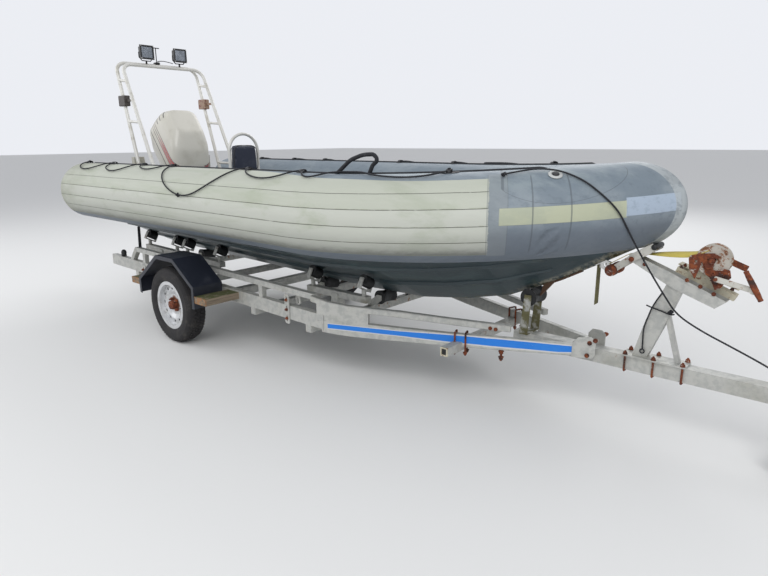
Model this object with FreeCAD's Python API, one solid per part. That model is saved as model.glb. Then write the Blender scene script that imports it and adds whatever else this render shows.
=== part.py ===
import FreeCAD, Part
import math
import os

# Rigid inflatable boat on its road trailer, in millimetres. +X points to the bow and the hitch,
# +Y to port and +Z up, with the ground at Z = 0. Stations along the boat and trailer are
# given forward of the road wheels' axle, and station() turns them into X.

V = FreeCAD.Vector
UP = V(0, 0, 1)
SIDES = {"starboard": -1, "port": 1}

AXLE_X = -1003.9

# Inflatable collar
COLLAR_R = 236.0
COLLAR_Y = 760.7
COLLAR_Z = 1065.5
STERN_TIP = -1645.0
CAP_START = -1515.0
CAP_CORNER = 95.0
BOW_START = 1450.0
BOW_NOSE = 2985.0
BOW_R = 218.0
BOW_RISE = 85.0
BOW_SECTIONS = 7

# Hull: station, keel height, chine half-breadth and height, flange half-breadth and height
HULL_STATIONS = [
    (-1400, 495, 600, 805, 640, 875),
    (1200, 450, 600, 760, 640, 875),
    (1700, 462, 555, 785, 600, 885),
    (2050, 512, 470, 815, 530, 900),
    (2350, 585, 360, 850, 420, 925),
    (2650, 719, 225, 895, 290, 955),
    (2850, 830, 110, 930, 160, 985),
    (3040, 940, 12, 985, 20, 1010),
]
STRAKE_SHARES = (0.40, 0.78)
STRAKE_WIDE = 0.06
STRAKE_SINK = 4.0
DECK_THICK = 12.0
DECK_FRONT = 2080.0
DECK_KNEE = 1300.0
DECK_BOW_HALF = 400.0
TRANSOM_AFT = -1400.0
TRANSOM_THICK = 50.0
TRANSOM_TOP = 985.0
TRANSOM_SHOULDER = 1180.0
TRANSOM_WELL = 250.0
TRANSOM_HORN = (300.0, 395.0, 1345.0)
TOW_EYE = (390.0, 722.0)
TOW_EYE_R = 20.0
TOW_EYE_BAR = 5.0
BOW_EYE_STATION = 2870.0
BOW_EYE_THICK = 12.0
BOW_EYE_HOLE_R = 12.0
BOW_EYE_R = 26.0

# Seat pod, steering and backrest
POD_AFT = -170.0
POD_FRONT = 560.0
POD_HALF = 200.0
POD_TOP = 1040.0
SEAT_FRONT = 200.0
PLINTH_TOP = 950.0
CUSHION_FRONT = 185.0
CUSHION_THICK = 80.0
CONSOLE_AFT = 350.0
CONSOLE_TOP = 1190.0
WHEEL_RADIUS = 120.0
WHEEL_GRIP_R = 11.0
WHEEL_LEAN = 25.0
WHEEL_STATION = 285.0
WHEEL_HEIGHT = 1100.0
HOOP_STATION = -215.0
HOOP_TOP = 1550.0
HOOP_HALF = 142.0
HOOP_R = 12.5
PAD_BOTTOM = 1225.0
PAD_TOP = 1455.0
PAD_THICK = 52.0
SOFT_CLEAR = 0.3

# Arch of two leaning hoops: base station, top station, top height, half-breadths
ARCH_R = 16.0
ARCH_BEND = 90.0
ARCH_BASE_HALF = 420.0
FRONT_HOOP = (-790.0, -1390.0, 2170.0, 400.0)
REAR_HOOP = (-1116.0, -1505.0, 2190.0, 400.0)
RUNG_SHARES = (0.30, 0.60, 0.88)
RUNG_R = 12.0
LAMP_Y = 165.0
LAMP_WIDE = 130.0
LAMP_TALL = 112.0
LAMP_DEEP = 76.0
LAMP_STALK = 50.0
MAST_TALL = 150.0
SIDELIGHT_SHARE = 0.75

# Outboard engine, in its own frame before it is tilted: the tilt axis is its origin
TILT_STATION = -1355.0
TILT_Z = 1030.0
TILT_REST = 53.0
SWIVEL_X = -110.0
LEG_X = -225.0
CAVITATION_Z = -500.0
GEARCASE_Z = -680.0
GEARCASE_R = 52.0
SKEG_Z = -860.0
PAN_Z = 110.0
COWL_JOIN_Z = 275.0
COWL_TOP_Z = 609.0
COWL_FRONT = 72.0
COWL_AFT = -513.0
COWL_HALF = 204.0
COWL_SLOPE = 143.0
PROP_R = 160.0
PROP_BLADES = 3
RUN_CLEAR = 0.3

# Trailer side frames
RAIL_Y = 660.0
RAIL_WIDE = 45.0
RAIL_DEEP = 92.0
RAIL_MID_Z = 404.0
RAIL_FALL = 0.016
RAIL_REAR = -1435.0
RAIL_KINK = 1420.0
UPPER_DEEP = 38.0
UPPER_REAR = -980.0
UPPER_FRONT = 1330.0
UPPER_RISE = 147.0
POST_STATIONS = (-840.0, 180.0, 790.0)
POST_WIDE = 40.0

# Drawbar, converging front rails and cross members
FRONT_RAIL_DEEP = 62.0
FRONT_RAIL_WIDE = 40.0
JUNCTION = 2860.0
DRAWBAR = 76.0
DRAWBAR_Z = 345.0
DRAWBAR_REAR = 2400.0
DRAWBAR_FRONT = 4050.0
CROSS_DEEP = 50.0
FRONT_CROSS = 2210.0
FRONT_CROSS_HALF = 470.0
COUPLING_NOSE = 4300.0
BALL_R = 25.5

# Axle and wheels
TYRE_R = 289.0
TYRE_WIDE = 155.0
TYRE_OUTER = 919.0
RIM_R = 182.0
RIM_BEAD_R = 165.0
FLANGE_IN = 14.0
FLANGE_THICK = 5.0
HUB_R = 32.0
BEAM_STATION = 170.0
BEAM_DEEP = 60.0
MUDGUARD_GAP = 89.0
MUDGUARD_FLAT = (-83.0, 158.0)
MUDGUARD_SHOULDERS = (170.0, 207.0)
MUDGUARD_FOOT = 50.0
MUDGUARD_WIDE = 235.0
MUDGUARD_THICK = 4.0
MUDGUARD_OUTER = 940.0
MUDGUARD_LIP = 30.0
GUARD_BARS = ((-505.0, -375.0), (405.0, 540.0))
GUARD_BAR_DEEP = 48.0

# Rollers
ROLLER_R = 38.0
ROLLER_LONG = 80.0
ROLLER_Y = 350.0
BOGIE_STATIONS = (-980.0, -330.0, 1280.0)
BOGIE_REACH = 240.0
ROCKER_DROP = 88.0
ROCKER_DEEP = 42.0
ROCKER_WIDE = 50.0
KEEL_STATIONS = (-980.0, 700.0, 1280.0)
KEEL_REACH = 82.0
KEEL_ROLLER_R = 42.0
KEEL_ROLLER_HALF = 65.0
KEEL_FLARE = 8.0
FRONT_ROLLER = DRAWBAR_REAR + 80.0

# Ropes lie on the collar: station, and degrees round the tube from its top, outboard side down
ROPE_R = 5.0
ROPE_LIFT = 12.0
GRAB_LINE = [
    (-1445, -2), (-1430, 9), (-1395, 23), (-1320, 33), (-1225, 37), (-1130, 35), (-1055, 27),
    (-1010, 13), (-985, 0), (-945, 0), (-920, 12), (-885, 27), (-800, 35), (-700, 38), (-610, 34),
    (-545, 24), (-505, 10), (-480, -1), (-440, -1), (-415, 9), (-375, 19), (-285, 26), (-190, 28),
    (-115, 22), (-75, 10), (-50, -2), (-10, -2), (15, 12), (50, 30), (115, 45), (205, 58), (305, 67),
    (400, 72), (500, 73), (595, 68), (690, 56), (765, 42), (815, 25), (838, 8), (855, -4), (895, -4),
    (920, 8), (965, 20), (1050, 29), (1150, 34), (1250, 33), (1325, 25), (1360, 12), (1378, 0),
    (1418, 0), (1443, 11), (1490, 21), (1555, 27), (1610, 19), (1645, 8), (1695, 1), (1765, -1),
    (1830, 2), (1880, 10), (1945, 19), (2030, 24), (2120, 26), (2200, 23), (2255, 15), (2290, 4),
]
PAINTER_R = 4.5
PAINTER_ON_BOW = [(2517, 26), (2601, 17), (2662, 16), (2714, 25), (2753, 37), (2786, 48), (2826, 65),
                  (2865, 82), (2888, 96), (2930, 122)]
PAINTER_FREE = [(3129, -159, 922), (3178, -124, 827), (3227, -88, 737), (3276, -52, 651), (3387, -50, 593),
                (3518, -55, 546), (3597, -58, 517), (3676, -60, 486), (3755, -54, 446), (3800, -47, 408),
                (3822, -43.5, 370)]
HANDLE_R = 11.0
HANDLE_ROUTE = [(1640, 738, 1290), (1755, 729, 1378), (1838, 719, 1406), (1905, 708, 1409),
                (1932, 703, 1380), (1895, 706, 1352), (1862, 706, 1290)]
HANDLE_BENDS = [160.0, 200.0, 30.0, 18.0, 40.0]

# Webbing that ties the boat down
STRAP_W = 25.0
STERN_STRAP_FOOT = (-935.0, 632.0, 583.0)
HANGING_STRAP = (2862.0, 620.0)
HANGING_W = 48.0
STEM_STRAP = (2560.0, 2775.0)

# Winch post
POST_BASE = (3030.0, 3345.0)
POST_BLADE = [(3080, 392), (3151, 392), (3238, 627), (3283, 768), (3214, 800), (3131, 592)]
POST_STRUT = ((3296.0, 392.0), (3228.0, 618.0))
ARM_OUTLINE = [(3020, 905), (3036, 918), (3211, 852), (3477, 744), (3430, 704), (3232, 775), (3040, 876)]
ARM_WIDE = 64.0
ARM_WALL = 5.0
WINCH_BASE = ((3232.0, 857.0), (3498.0, 752.0))
WINCH_BASE_DEEP = 30.0
CHEEK = [(3290, 838), (3285, 915), (3300, 955), (3350, 972), (3392, 962), (3428, 925), (3446, 865),
         (3430, 790)]
CHEEK_GAP = 2.0
DRUM = (3398.0, 929.0)
DRUM_R = 75.0
DRUM_CORE = 0.6
PINION = (3426.0, 850.0)
PINION_R = 27.0
CRANK_END = (3579.0, 821.0)
CRANK_Y = -66.0
HANDLE_ENDS = ((3542.0, 908.0), (3616.0, 782.0))
SNUBBER_LOW = (2944.0, 824.0)
SNUBBER_HIGH = (3135.0, 952.0)
SNUBBER_BOLT = (3042.0, 895.0)
SNUBBER_ROLLER = 30.0
SNUBBER_PAD = 12.0
STRAP_WIDE = 48.0
STRAP_TURN = (3018.0, 914.0)
STRAP_THICK = 3.0

# Jockey wheel
JOCKEY_STATION = 3880.0
JOCKEY_Y = -95.0
JOCKEY_WHEEL_R = 100.0
JOCKEY_WHEEL_WIDE = 50.0
JOCKEY_TUBE_R = 24.0
JOCKEY_LEG_R = 19.0
JOCKEY_LEG_LONG = 440.0
JOCKEY_TOP = 830.0
JOCKEY_TUBE_FOOT = 300.0
JOCKEY_TRAIL = 42.0
JOCKEY_CROWN = 242.0


def station(x):
    """X of a station that is given forward of the axle."""
    return AXLE_X + x


def box(x0, x1, y0, y1, z0, z1):
    return Part.makeBox(x1 - x0, y1 - y0, z1 - z0, V(x0, y0, z0))


def rod(p, q, radius):
    axis = q - p
    return Part.makeCylinder(radius, axis.Length, p, axis)


def bar(p, q, wide, deep):
    """A rectangular bar from p to q, wide across and deep in the upright plane."""
    along = q - p
    solid = Part.makeBox(along.Length, wide, deep, V(0, -wide / 2, -deep / 2))
    turn = FreeCAD.Rotation(along, V(0, 0, 0), UP, "XZY")
    solid.Placement = FreeCAD.Placement(p, turn)
    return solid


def mirror(shape):
    return shape.mirror(V(0, 0, 0), V(0, 1, 0))


def on_side(shape, side):
    """A shape that is drawn to port, put on the named side."""
    return shape if SIDES[side] > 0 else mirror(shape)


def fuse(shapes):
    first = shapes[0]
    return first.multiFuse(shapes[1:]).removeSplitter() if len(shapes) > 1 else first


def less(shape, blocked):
    """The largest piece that is left of a shape where others block it."""
    for other in blocked:
        shape = shape.cut(other)
    return max(shape.Solids, key=lambda s: s.Volume)


def polygon(points):
    return Part.Wire(Part.makePolygon(list(points) + [points[0]]))


def plate(points, thick):
    """A plate with the outline points in an XZ plane, centred on that plane's Y."""
    face = Part.Face(polygon(points))
    solid = face.extrude(V(0, thick, 0))
    solid.translate(V(0, -thick / 2, 0))
    return solid


def bent_wire(points, bend):
    """Straight runs through points, joined by tangent arcs of one radius or one per corner."""
    edges = []
    start = points[0]
    for i in range(1, len(points) - 1):
        corner = points[i]
        into = (corner - points[i - 1]).normalize()
        out = (points[i + 1] - corner).normalize()
        radius = bend[i - 1] if isinstance(bend, list) else bend
        half = into.getAngle(out) / 2
        setback = radius * math.tan(half)
        a = corner - into * setback
        b = corner + out * setback
        inward = (out - into).normalize()
        middle = corner + inward * radius * (1 / math.cos(half) - 1)
        edges.append(Part.makeLine(start, a))
        edges.append(Part.Arc(a, middle, b).toShape())
        start = b
    edges.append(Part.makeLine(start, points[-1]))
    return Part.Wire(edges)


def bent_tube(points, radius, bend):
    path = bent_wire(points, bend)
    profile = Part.Wire(Part.makeCircle(radius, points[0], points[1] - points[0]))
    return path.makePipeShell([profile], True, False)


def rope_bends(points):
    """The largest arc that each corner's runs allow."""
    bends = []
    for a, b, c in zip(points, points[1:], points[2:]):
        into, out = b - a, c - b
        bends.append(0.45 * min(into.Length, out.Length) / math.tan(into.getAngle(out) / 2))
    return bends


def rope(name, points, radius):
    """A limp rope: straight runs joined by tangent arcs, its smallest arc printed."""
    bends = rope_bends(points)
    solid = bent_tube(points, radius, bends)
    length = bent_wire(points, bends).Length
    share = solid.Volume / (math.pi * radius ** 2 * length)
    print("%s: %.0f mm long, smallest arc %.0f mm, volume share %.3f" % (name, length, min(bends), share))
    return solid


def revolve_y(points, y_axis_x, y_axis_z):
    """A solid of revolution about a line along Y; points are (radius, y)."""
    outline = polygon([V(y_axis_x + r, y, y_axis_z) for r, y in points])
    return Part.Face(outline).revolve(V(y_axis_x, 0, y_axis_z), V(0, 1, 0), 360)


# Inflatable collar

def bow_arc():
    """Radius and end angle of the bow's plan curve, tangent to the straight tube."""
    run = BOW_NOSE - BOW_START
    radius = (run ** 2 + COLLAR_Y ** 2) / (2 * COLLAR_Y)
    return radius, 2 * math.atan2(COLLAR_Y, run)


def collar_centre(share):
    """Centre, heading and tube radius at a share of the port bow curve, past the nose too."""
    radius, end = bow_arc()
    turn = end * min(share, 1.0)
    past = max(share - 1.0, 0.0) * radius * end
    x = BOW_START + radius * math.sin(turn) + past * math.cos(turn)
    y = COLLAR_Y - radius * (1 - math.cos(turn)) - past * math.sin(turn)
    z = COLLAR_Z + BOW_RISE * share ** 1.6
    heading = V(math.cos(turn), -math.sin(turn), 0)
    return V(station(x), y, z), heading, COLLAR_R + (BOW_R - COLLAR_R) * share


def arc(centre, radius, start, end):
    """The shorter arc about a centre between two points on it."""
    middle = centre + ((start - centre) + (end - centre)).normalize() * radius
    return Part.Arc(start, middle, end).toShape()


def collar_side():
    """The straight port tube with its blunt, round-cornered end cap, revolved about its own axis."""
    tip, x1, x2 = V(station(STERN_TIP), 0, 0), station(CAP_START), station(BOW_START)
    deep, lift = CAP_START - STERN_TIP, COLLAR_R - CAP_CORNER
    dome = (deep ** 2 + lift ** 2 - CAP_CORNER ** 2) / (2 * (deep - CAP_CORNER))
    corner_centre, dome_centre = V(x1, 0, lift), tip + V(dome, 0, 0)
    meet = dome_centre + (corner_centre - dome_centre).normalize() * dome
    rim, shoulder, front = V(x1, 0, COLLAR_R), V(x2, 0, COLLAR_R), V(x2, 0, 0)
    outline = Part.Wire([
        Part.makeLine(tip, front),
        Part.makeLine(front, shoulder),
        Part.makeLine(shoulder, rim),
        arc(corner_centre, CAP_CORNER, rim, meet),
        arc(dome_centre, dome, meet, tip),
    ])
    solid = Part.Face(outline).revolve(V(0, 0, 0), V(1, 0, 0), 360)
    solid.translate(V(0, COLLAR_Y, COLLAR_Z))
    return solid


def collar_bow():
    """Both curved bow tubes, lofted through circles and joined at the nose."""
    wires = []
    for i in range(BOW_SECTIONS + 2):
        centre, heading, radius = collar_centre(i / (BOW_SECTIONS - 1))
        wires.append(Part.Wire(Part.makeCircle(radius, centre, heading)))
    half = Part.makeLoft(wires, True, False)
    reach = 2000.0
    keep = box(station(BOW_START), station(BOW_NOSE) + reach, 0, reach, 0, reach)
    half = half.common(keep)
    return fuse([half, mirror(half)])


def on_collar(x, degrees, lift):
    """A point at a lift above the port tube's skin, at a station and degrees from its top."""
    if x <= BOW_START:
        centre, heading, radius = V(station(x), COLLAR_Y, COLLAR_Z), V(1, 0, 0), COLLAR_R
    else:
        bow_radius, end = bow_arc()
        centre, heading, radius = collar_centre(math.asin((x - BOW_START) / bow_radius) / end)
    outboard = V(-heading.y, heading.x, 0)
    turn = math.radians(degrees)
    return centre + (outboard * math.sin(turn) + UP * math.cos(turn)) * (radius + lift)


def grab_line(side):
    points = [on_collar(x, degrees, ROPE_LIFT) for x, degrees in GRAB_LINE]
    return on_side(rope("grab line", points, ROPE_R), side)


def painter():
    """The starboard mooring line, over the bow to the winch post and on to the jockey's clamp."""
    points = [on_collar(x, degrees, ROPE_LIFT) for x, degrees in PAINTER_ON_BOW]
    points = [V(p.x, -p.y, p.z) for p in points]
    points += [V(station(x), y, z) for x, y, z in PAINTER_FREE]
    return rope("painter", points, PAINTER_R)


def lifting_handle(side, bow):
    """A sleeved loop that stands on the tube, its feet cut to the skin."""
    points = [V(station(x), y, z) for x, y, z in HANDLE_ROUTE]
    tube = bent_tube(points, HANDLE_R, HANDLE_BENDS).cut(bow)
    return on_side(max(tube.Solids, key=lambda s: s.Volume), side)


# Hull, deck and transom

def hull_section(row):
    x, keel_z, chine_y, chine_z, flange_y, flange_z = row
    x = station(x)
    port = [V(x, 0, keel_z), V(x, chine_y, chine_z), V(x, flange_y, flange_z)]
    starboard = [V(x, -p.y, p.z) for p in reversed(port[1:])]
    return polygon(port + starboard)


def strake(share):
    """A spray strake along the port bottom: flat below, upright outboard, fading to the bow."""
    wires = []
    for x, keel_z, chine_y, chine_z, _, _ in HULL_STATIONS[:-2]:
        inner, outer = share * chine_y, (share + STRAKE_WIDE) * chine_y
        low = keel_z + share * (chine_z - keel_z)
        high = keel_z + (share + STRAKE_WIDE) * (chine_z - keel_z)
        x = station(x)
        wires.append(polygon([V(x, inner, low), V(x, outer, low), V(x, outer, high + STRAKE_SINK),
                              V(x, inner, low + STRAKE_SINK)]))
    return Part.makeLoft(wires, True, True)


def hull(collars):
    wires = [hull_section(row) for row in HULL_STATIONS]
    solid = Part.makeLoft(wires, True, True)
    for collar in collars:
        solid = solid.cut(collar)
    solid = max(solid.Solids, key=lambda s: s.Volume)
    strakes = [strake(share) for share in STRAKE_SHARES]
    return solid.multiFuse(strakes + [mirror(s) for s in strakes])


def deck_z():
    return HULL_STATIONS[0][5] + DECK_THICK


def deck(collars):
    aft = station(TRANSOM_AFT + TRANSOM_THICK)
    front = station(DECK_FRONT)
    knee = station(DECK_KNEE)
    half = HULL_STATIONS[0][4]
    low = HULL_STATIONS[0][5]
    outline = polygon([V(aft, -half, low), V(knee, -half, low), V(front, -DECK_BOW_HALF, low),
                       V(front, DECK_BOW_HALF, low), V(knee, half, low), V(aft, half, low)])
    solid = Part.Face(outline).extrude(V(0, 0, DECK_THICK))
    for collar in collars + [hull(collars)]:
        solid = solid.cut(collar)
    return max(solid.Solids, key=lambda s: s.Volume)


def transom(collars):
    """The engine board between the tubes, with a well for the engine and a horn each side."""
    low = HULL_STATIONS[0][5]
    horn_in, horn_out, horn_top = TRANSOM_HORN
    half = HULL_STATIONS[0][4]
    port = [(half, low), (half, TRANSOM_SHOULDER), (horn_out, TRANSOM_SHOULDER),
            (horn_out, horn_top), (horn_in, horn_top), (TRANSOM_WELL, TRANSOM_TOP)]
    points = port + [(-y, z) for y, z in reversed(port)]
    x = station(TRANSOM_AFT)
    face = Part.Face(polygon([V(x, y, z) for y, z in points]))
    solid = face.extrude(V(TRANSOM_THICK, 0, 0))
    for collar in collars:
        solid = solid.cut(collar)
    return max(solid.Solids, key=lambda s: s.Volume)


def keel_height(x):
    rows = HULL_STATIONS
    for a, b in zip(rows, rows[1:]):
        if a[0] <= x <= b[0]:
            return a[1] + (b[1] - a[1]) * (x - a[0]) / (b[0] - a[0])
    return rows[0][1]


def eye_centre():
    """Centre of the hole in the stem's towing eye."""
    x = BOW_EYE_STATION
    return V(station(x) + 26, 0, keel_height(x) - 4)


def bow_eye(hull_solid):
    """A forged lug on the stem, for the winch strap and painter."""
    centre = eye_centre()
    half = BOW_EYE_THICK / 2
    side = V(0, half, 0)
    lug = Part.makeCylinder(BOW_EYE_R, BOW_EYE_THICK, centre - side, V(0, 1, 0))
    root = bar(centre, centre + V(-60, 0, 24), BOW_EYE_THICK, 2 * BOW_EYE_R)
    hole = Part.makeCylinder(BOW_EYE_HOLE_R, 4 * half, centre - side * 2, V(0, 1, 0))
    eye = fuse([lug, root]).cut(hole).cut(hull_solid)
    return min(eye.Solids, key=lambda s: (s.CenterOfMass - centre).Length)


# Seat pod, steering and backrest

def seat_pod():
    base = deck_z()
    x0, x1, x2 = station(POD_AFT), station(CONSOLE_AFT), station(POD_FRONT)
    seat = station(SEAT_FRONT)
    outline = [V(x0, 0, base), V(x0 + 25, 0, POD_TOP), V(seat, 0, POD_TOP), V(seat + 15, 0, PLINTH_TOP),
               V(x1, 0, PLINTH_TOP), V(x1 + 35, 0, CONSOLE_TOP), V(x2 - 50, 0, CONSOLE_TOP),
               V(x2, 0, base)]
    pod = plate(outline, 2 * POD_HALF)
    edges = [e for e in pod.Edges if abs(e.tangentAt(e.FirstParameter).y) < 0.5
             and e.BoundBox.ZMax > base + 1]
    return pod.makeFillet(18.0, edges)


def seat_cushion():
    x0, x1 = station(POD_AFT) + 75, station(CUSHION_FRONT)
    half = POD_HALF - 20
    pad = box(x0, x1, -half, half, POD_TOP + RUN_CLEAR, POD_TOP + CUSHION_THICK)
    return pad.makeFillet(20.0, [e for e in pad.Edges if e.BoundBox.ZMin > POD_TOP + 1])


def wheel_frame():
    """Centre and axis of the steering wheel: the axis points aft and up to the helm's hands."""
    lean = math.radians(WHEEL_LEAN)
    return V(station(WHEEL_STATION), 0, WHEEL_HEIGHT), V(-math.cos(lean), 0, math.sin(lean))


def steering_wheel():
    centre, axis = wheel_frame()
    rim = Part.makeTorus(WHEEL_RADIUS, WHEEL_GRIP_R, centre, axis)
    hub = Part.makeCylinder(26, 26, centre - axis * 22, axis)
    across = V(0, 1, 0)
    along = axis.cross(across)
    spokes = []
    for i in range(3):
        turn = math.radians(90 + 120 * i)
        out = across * math.cos(turn) + along * math.sin(turn)
        spokes.append(rod(centre + out * 20, centre + out * WHEEL_RADIUS, 7))
    return fuse([rim, hub] + spokes)


def steering_column(pod):
    """The short column between the console's face and the wheel's hub."""
    centre, axis = wheel_frame()
    column = rod(centre - axis * (22 + RUN_CLEAR), centre - axis * 200, 20)
    return min(column.cut(pod).Solids, key=lambda s: (centre - s.CenterOfMass).Length)


def backrest_hoop():
    x = station(HOOP_STATION)
    base = deck_z()
    half = HOOP_HALF
    return bent_tube([V(x, -half, base), V(x, -half, HOOP_TOP - HOOP_R),
                      V(x, half, HOOP_TOP - HOOP_R), V(x, half, base)], HOOP_R, HOOP_HALF - 2)


def backrest_pad():
    """A padded panel between the hoop's legs, its top corners round."""
    half = HOOP_HALF - HOOP_R - SOFT_CLEAR
    x = station(HOOP_STATION) - PAD_THICK / 2
    pad = box(x, x + PAD_THICK, -half, half, PAD_BOTTOM, PAD_TOP)
    corners = [e for e in pad.Edges if abs(e.tangentAt(e.FirstParameter).x) > 0.9
               and e.BoundBox.ZMin > PAD_TOP - 1]
    return pad.makeFillet(60.0, corners)


# Arch

def arch_leg_point(hoop, share, side):
    """A point on a leg, from its foot on the deck (0) to the top corner (1)."""
    foot_x, top_x, top_z, top_half = hoop
    base = deck_z()
    x = station(foot_x + (top_x - foot_x) * share)
    y = side * (ARCH_BASE_HALF + (top_half - ARCH_BASE_HALF) * share)
    return V(x, y, base + (top_z - ARCH_R - base) * share)


def arch_hoop(hoop):
    points = [arch_leg_point(hoop, 0, -1), arch_leg_point(hoop, 1, -1),
              arch_leg_point(hoop, 1, 1), arch_leg_point(hoop, 0, 1)]
    hoop = bent_tube(points, ARCH_R, ARCH_BEND)
    below = box(station(-2000), station(0), -COLLAR_Y, COLLAR_Y, 0, deck_z())
    return hoop.cut(below)


def arch_rungs(hoops):
    rungs = []
    for side in (-1, 1):
        for share in RUNG_SHARES:
            a = arch_leg_point(FRONT_HOOP, share, side)
            b = arch_leg_point(REAR_HOOP, share, side)
            rungs.append(rod(a, b, RUNG_R))
    shape = Part.makeCompound(rungs)
    for hoop in hoops:
        shape = shape.cut(hoop)
    solids = [s for s in shape.Solids if s.Volume > 8000]
    return Part.makeCompound(solids)


def floodlight(side):
    """A square lamp on a short stalk, standing on the arch's front top bar."""
    corner = arch_leg_point(FRONT_HOOP, 1, 0)
    y = SIDES[side] * LAMP_Y
    z = corner.z + ARCH_R + LAMP_STALK
    body = box(corner.x - LAMP_DEEP / 2, corner.x + LAMP_DEEP / 2, y - LAMP_WIDE / 2,
               y + LAMP_WIDE / 2, z, z + LAMP_TALL)
    body = body.makeFillet(12.0, body.Edges)
    stalk = rod(V(corner.x, y, corner.z), V(corner.x, y, z + 5), 9)
    return fuse([body, stalk]).cut(arch_hoop(FRONT_HOOP))


def masthead_light():
    """The small stern light on its stem, on the arch's rear top bar."""
    foot = arch_leg_point(REAR_HOOP, 1, 0)
    top = foot + V(0, 0, ARCH_R + MAST_TALL)
    stem = rod(foot, top, 8)
    cap = Part.makeCylinder(35, 14, top - V(0, 0, 14), UP)
    return fuse([stem, cap]).cut(arch_hoop(REAR_HOOP))


def sidelight(side, hoops):
    """A navigation lamp on a bracket between the two legs of one side."""
    sign = SIDES[side]
    front = arch_leg_point(FRONT_HOOP, SIDELIGHT_SHARE, sign)
    rear = arch_leg_point(REAR_HOOP, SIDELIGHT_SHARE, sign)
    lamp = box(rear.x - 50, rear.x + 66, front.y - 28, front.y + 28, front.z - 46, front.z + 46)
    lamp = lamp.makeFillet(8.0, lamp.Edges)
    bracket = bar(V(rear.x, front.y, front.z), front, 14, 20)
    shape = fuse([lamp, bracket])
    for hoop in hoops:
        shape = shape.cut(hoop)
    return max(shape.Solids, key=lambda s: s.Volume)


# Outboard engine

def engine(shape, tilted=True):
    """Puts a shape from the engine's own frame behind the transom, tilted up as it is parked."""
    placed = shape.copy()
    if tilted:
        placed.rotate(V(0, 0, 0), V(0, 1, 0), TILT_REST)
    placed.translate(V(station(TILT_STATION), 0, TILT_Z))
    return placed


def clamp_bracket():
    """Two cheek plates that hook over the transom and carry the tilt tube."""
    aft = TRANSOM_AFT - TILT_STATION
    fore = aft + TRANSOM_THICK
    top = TRANSOM_TOP - TILT_Z
    cheeks = []
    for side in (-1, 1):
        outline = [V(fore + 25, 0, top - 90), V(fore + 25, 0, 26), V(-26, 0, 26), V(aft - 35, 0, -10),
                   V(aft - 35, 0, -270), V(aft, 0, -270), V(aft, 0, top), V(fore, 0, top),
                   V(fore, 0, top - 90)]
        cheek = plate(outline, 24)
        cheek.translate(V(0, side * 125, 0))
        cheeks.append(cheek)
    pin = rod(V(0, -137, 0), V(0, 137, 0), 15)
    return engine(fuse(cheeks + [pin]), tilted=False)


def swivel_bracket():
    """The yoke that turns on the tilt tube and holds the steering column."""
    sleeve = rod(V(0, -105, 0), V(0, 105, 0), 26)
    column = rod(V(SWIVEL_X, 0, -330), V(SWIVEL_X, 0, -25), 36)
    web = box(SWIVEL_X, 0, -60, 60, -34, 22)
    shape = fuse([sleeve, column, web])
    pin_room = rod(V(0, -140, 0), V(0, 140, 0), 15 + RUN_CLEAR)
    shaft_room = rod(V(SWIVEL_X, 0, -400), V(SWIVEL_X, 0, PAN_Z), 18 + RUN_CLEAR)
    return engine(shape.cut(pin_room).cut(shaft_room))


def oval(x_mid, half_long, half_wide, z):
    centre = V(x_mid, 0, z)
    ends = [centre + V(half_long, 0, 0), centre + V(0, half_wide, 0)]
    if half_wide > half_long:
        ends = [ends[1], centre - V(half_long, 0, 0)]
    return Part.Wire(Part.Ellipse(ends[0], ends[1], centre).toShape())


def midsection():
    """The exhaust housing, its two yokes and the steering shaft between them."""
    housing = Part.makeLoft([oval(LEG_X, 62, 55, CAVITATION_Z), oval(LEG_X, 70, 60, -330),
                             oval(LEG_X, 66, 75, -150), oval(LEG_X, 66, 90, PAN_Z)], True, False)
    shaft = rod(V(SWIVEL_X, 0, -360), V(SWIVEL_X, 0, PAN_Z - 20), 18)
    upper = box(LEG_X, SWIVEL_X + 30, -35, 35, 20 + 5, PAN_Z)
    lower = box(LEG_X, SWIVEL_X + 30, -40, 40, -375, -330 - RUN_CLEAR)
    return engine(fuse([housing, shaft, upper, lower]))


def rounded(x0, x1, half, z, corner):
    """A rounded rectangle in a level plane."""
    y = half
    pts = [V(x0, -y, z), V(x1, -y, z), V(x1, y, z), V(x0, y, z)]
    edges = []
    for i in range(4):
        p, q = pts[i], pts[(i + 1) % 4]
        r = (q - p).normalize()
        edges.append(Part.makeLine(p + r * corner, q - r * corner))
        nxt = (pts[(i + 2) % 4] - q).normalize()
        mid = q - r * corner * (1 - math.sqrt(0.5)) + nxt * corner * (1 - math.sqrt(0.5))
        edges.append(Part.Arc(q - r * corner, mid, q + nxt * corner).toShape())
    return Part.Wire(edges)


def cowl():
    """The engine pan and the cowl above it, lofted through rounded rectangles."""
    x0, x1, half = COWL_AFT, COWL_FRONT, COWL_HALF
    pan = Part.makeLoft([rounded(x0 + 70, x1 - 110, half - 75, PAN_Z + RUN_CLEAR, 70),
                         rounded(x0 + 12, x1 - 10, half - 8, COWL_JOIN_Z, 90)], True, True)
    hood = Part.makeLoft([rounded(x0, x1, half, COWL_JOIN_Z, 90),
                          rounded(x0 - 4, x1 - 30, half - 6, COWL_TOP_Z - 200, 90),
                          rounded(x0 + 2, x1 - COWL_SLOPE, half - 22, COWL_TOP_Z - 90, 85),
                          rounded(x0 + 50, x1 - 2 * COWL_SLOPE, half - 70, COWL_TOP_Z, 70)], True, True)
    return engine(fuse([pan, hood]))


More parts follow.
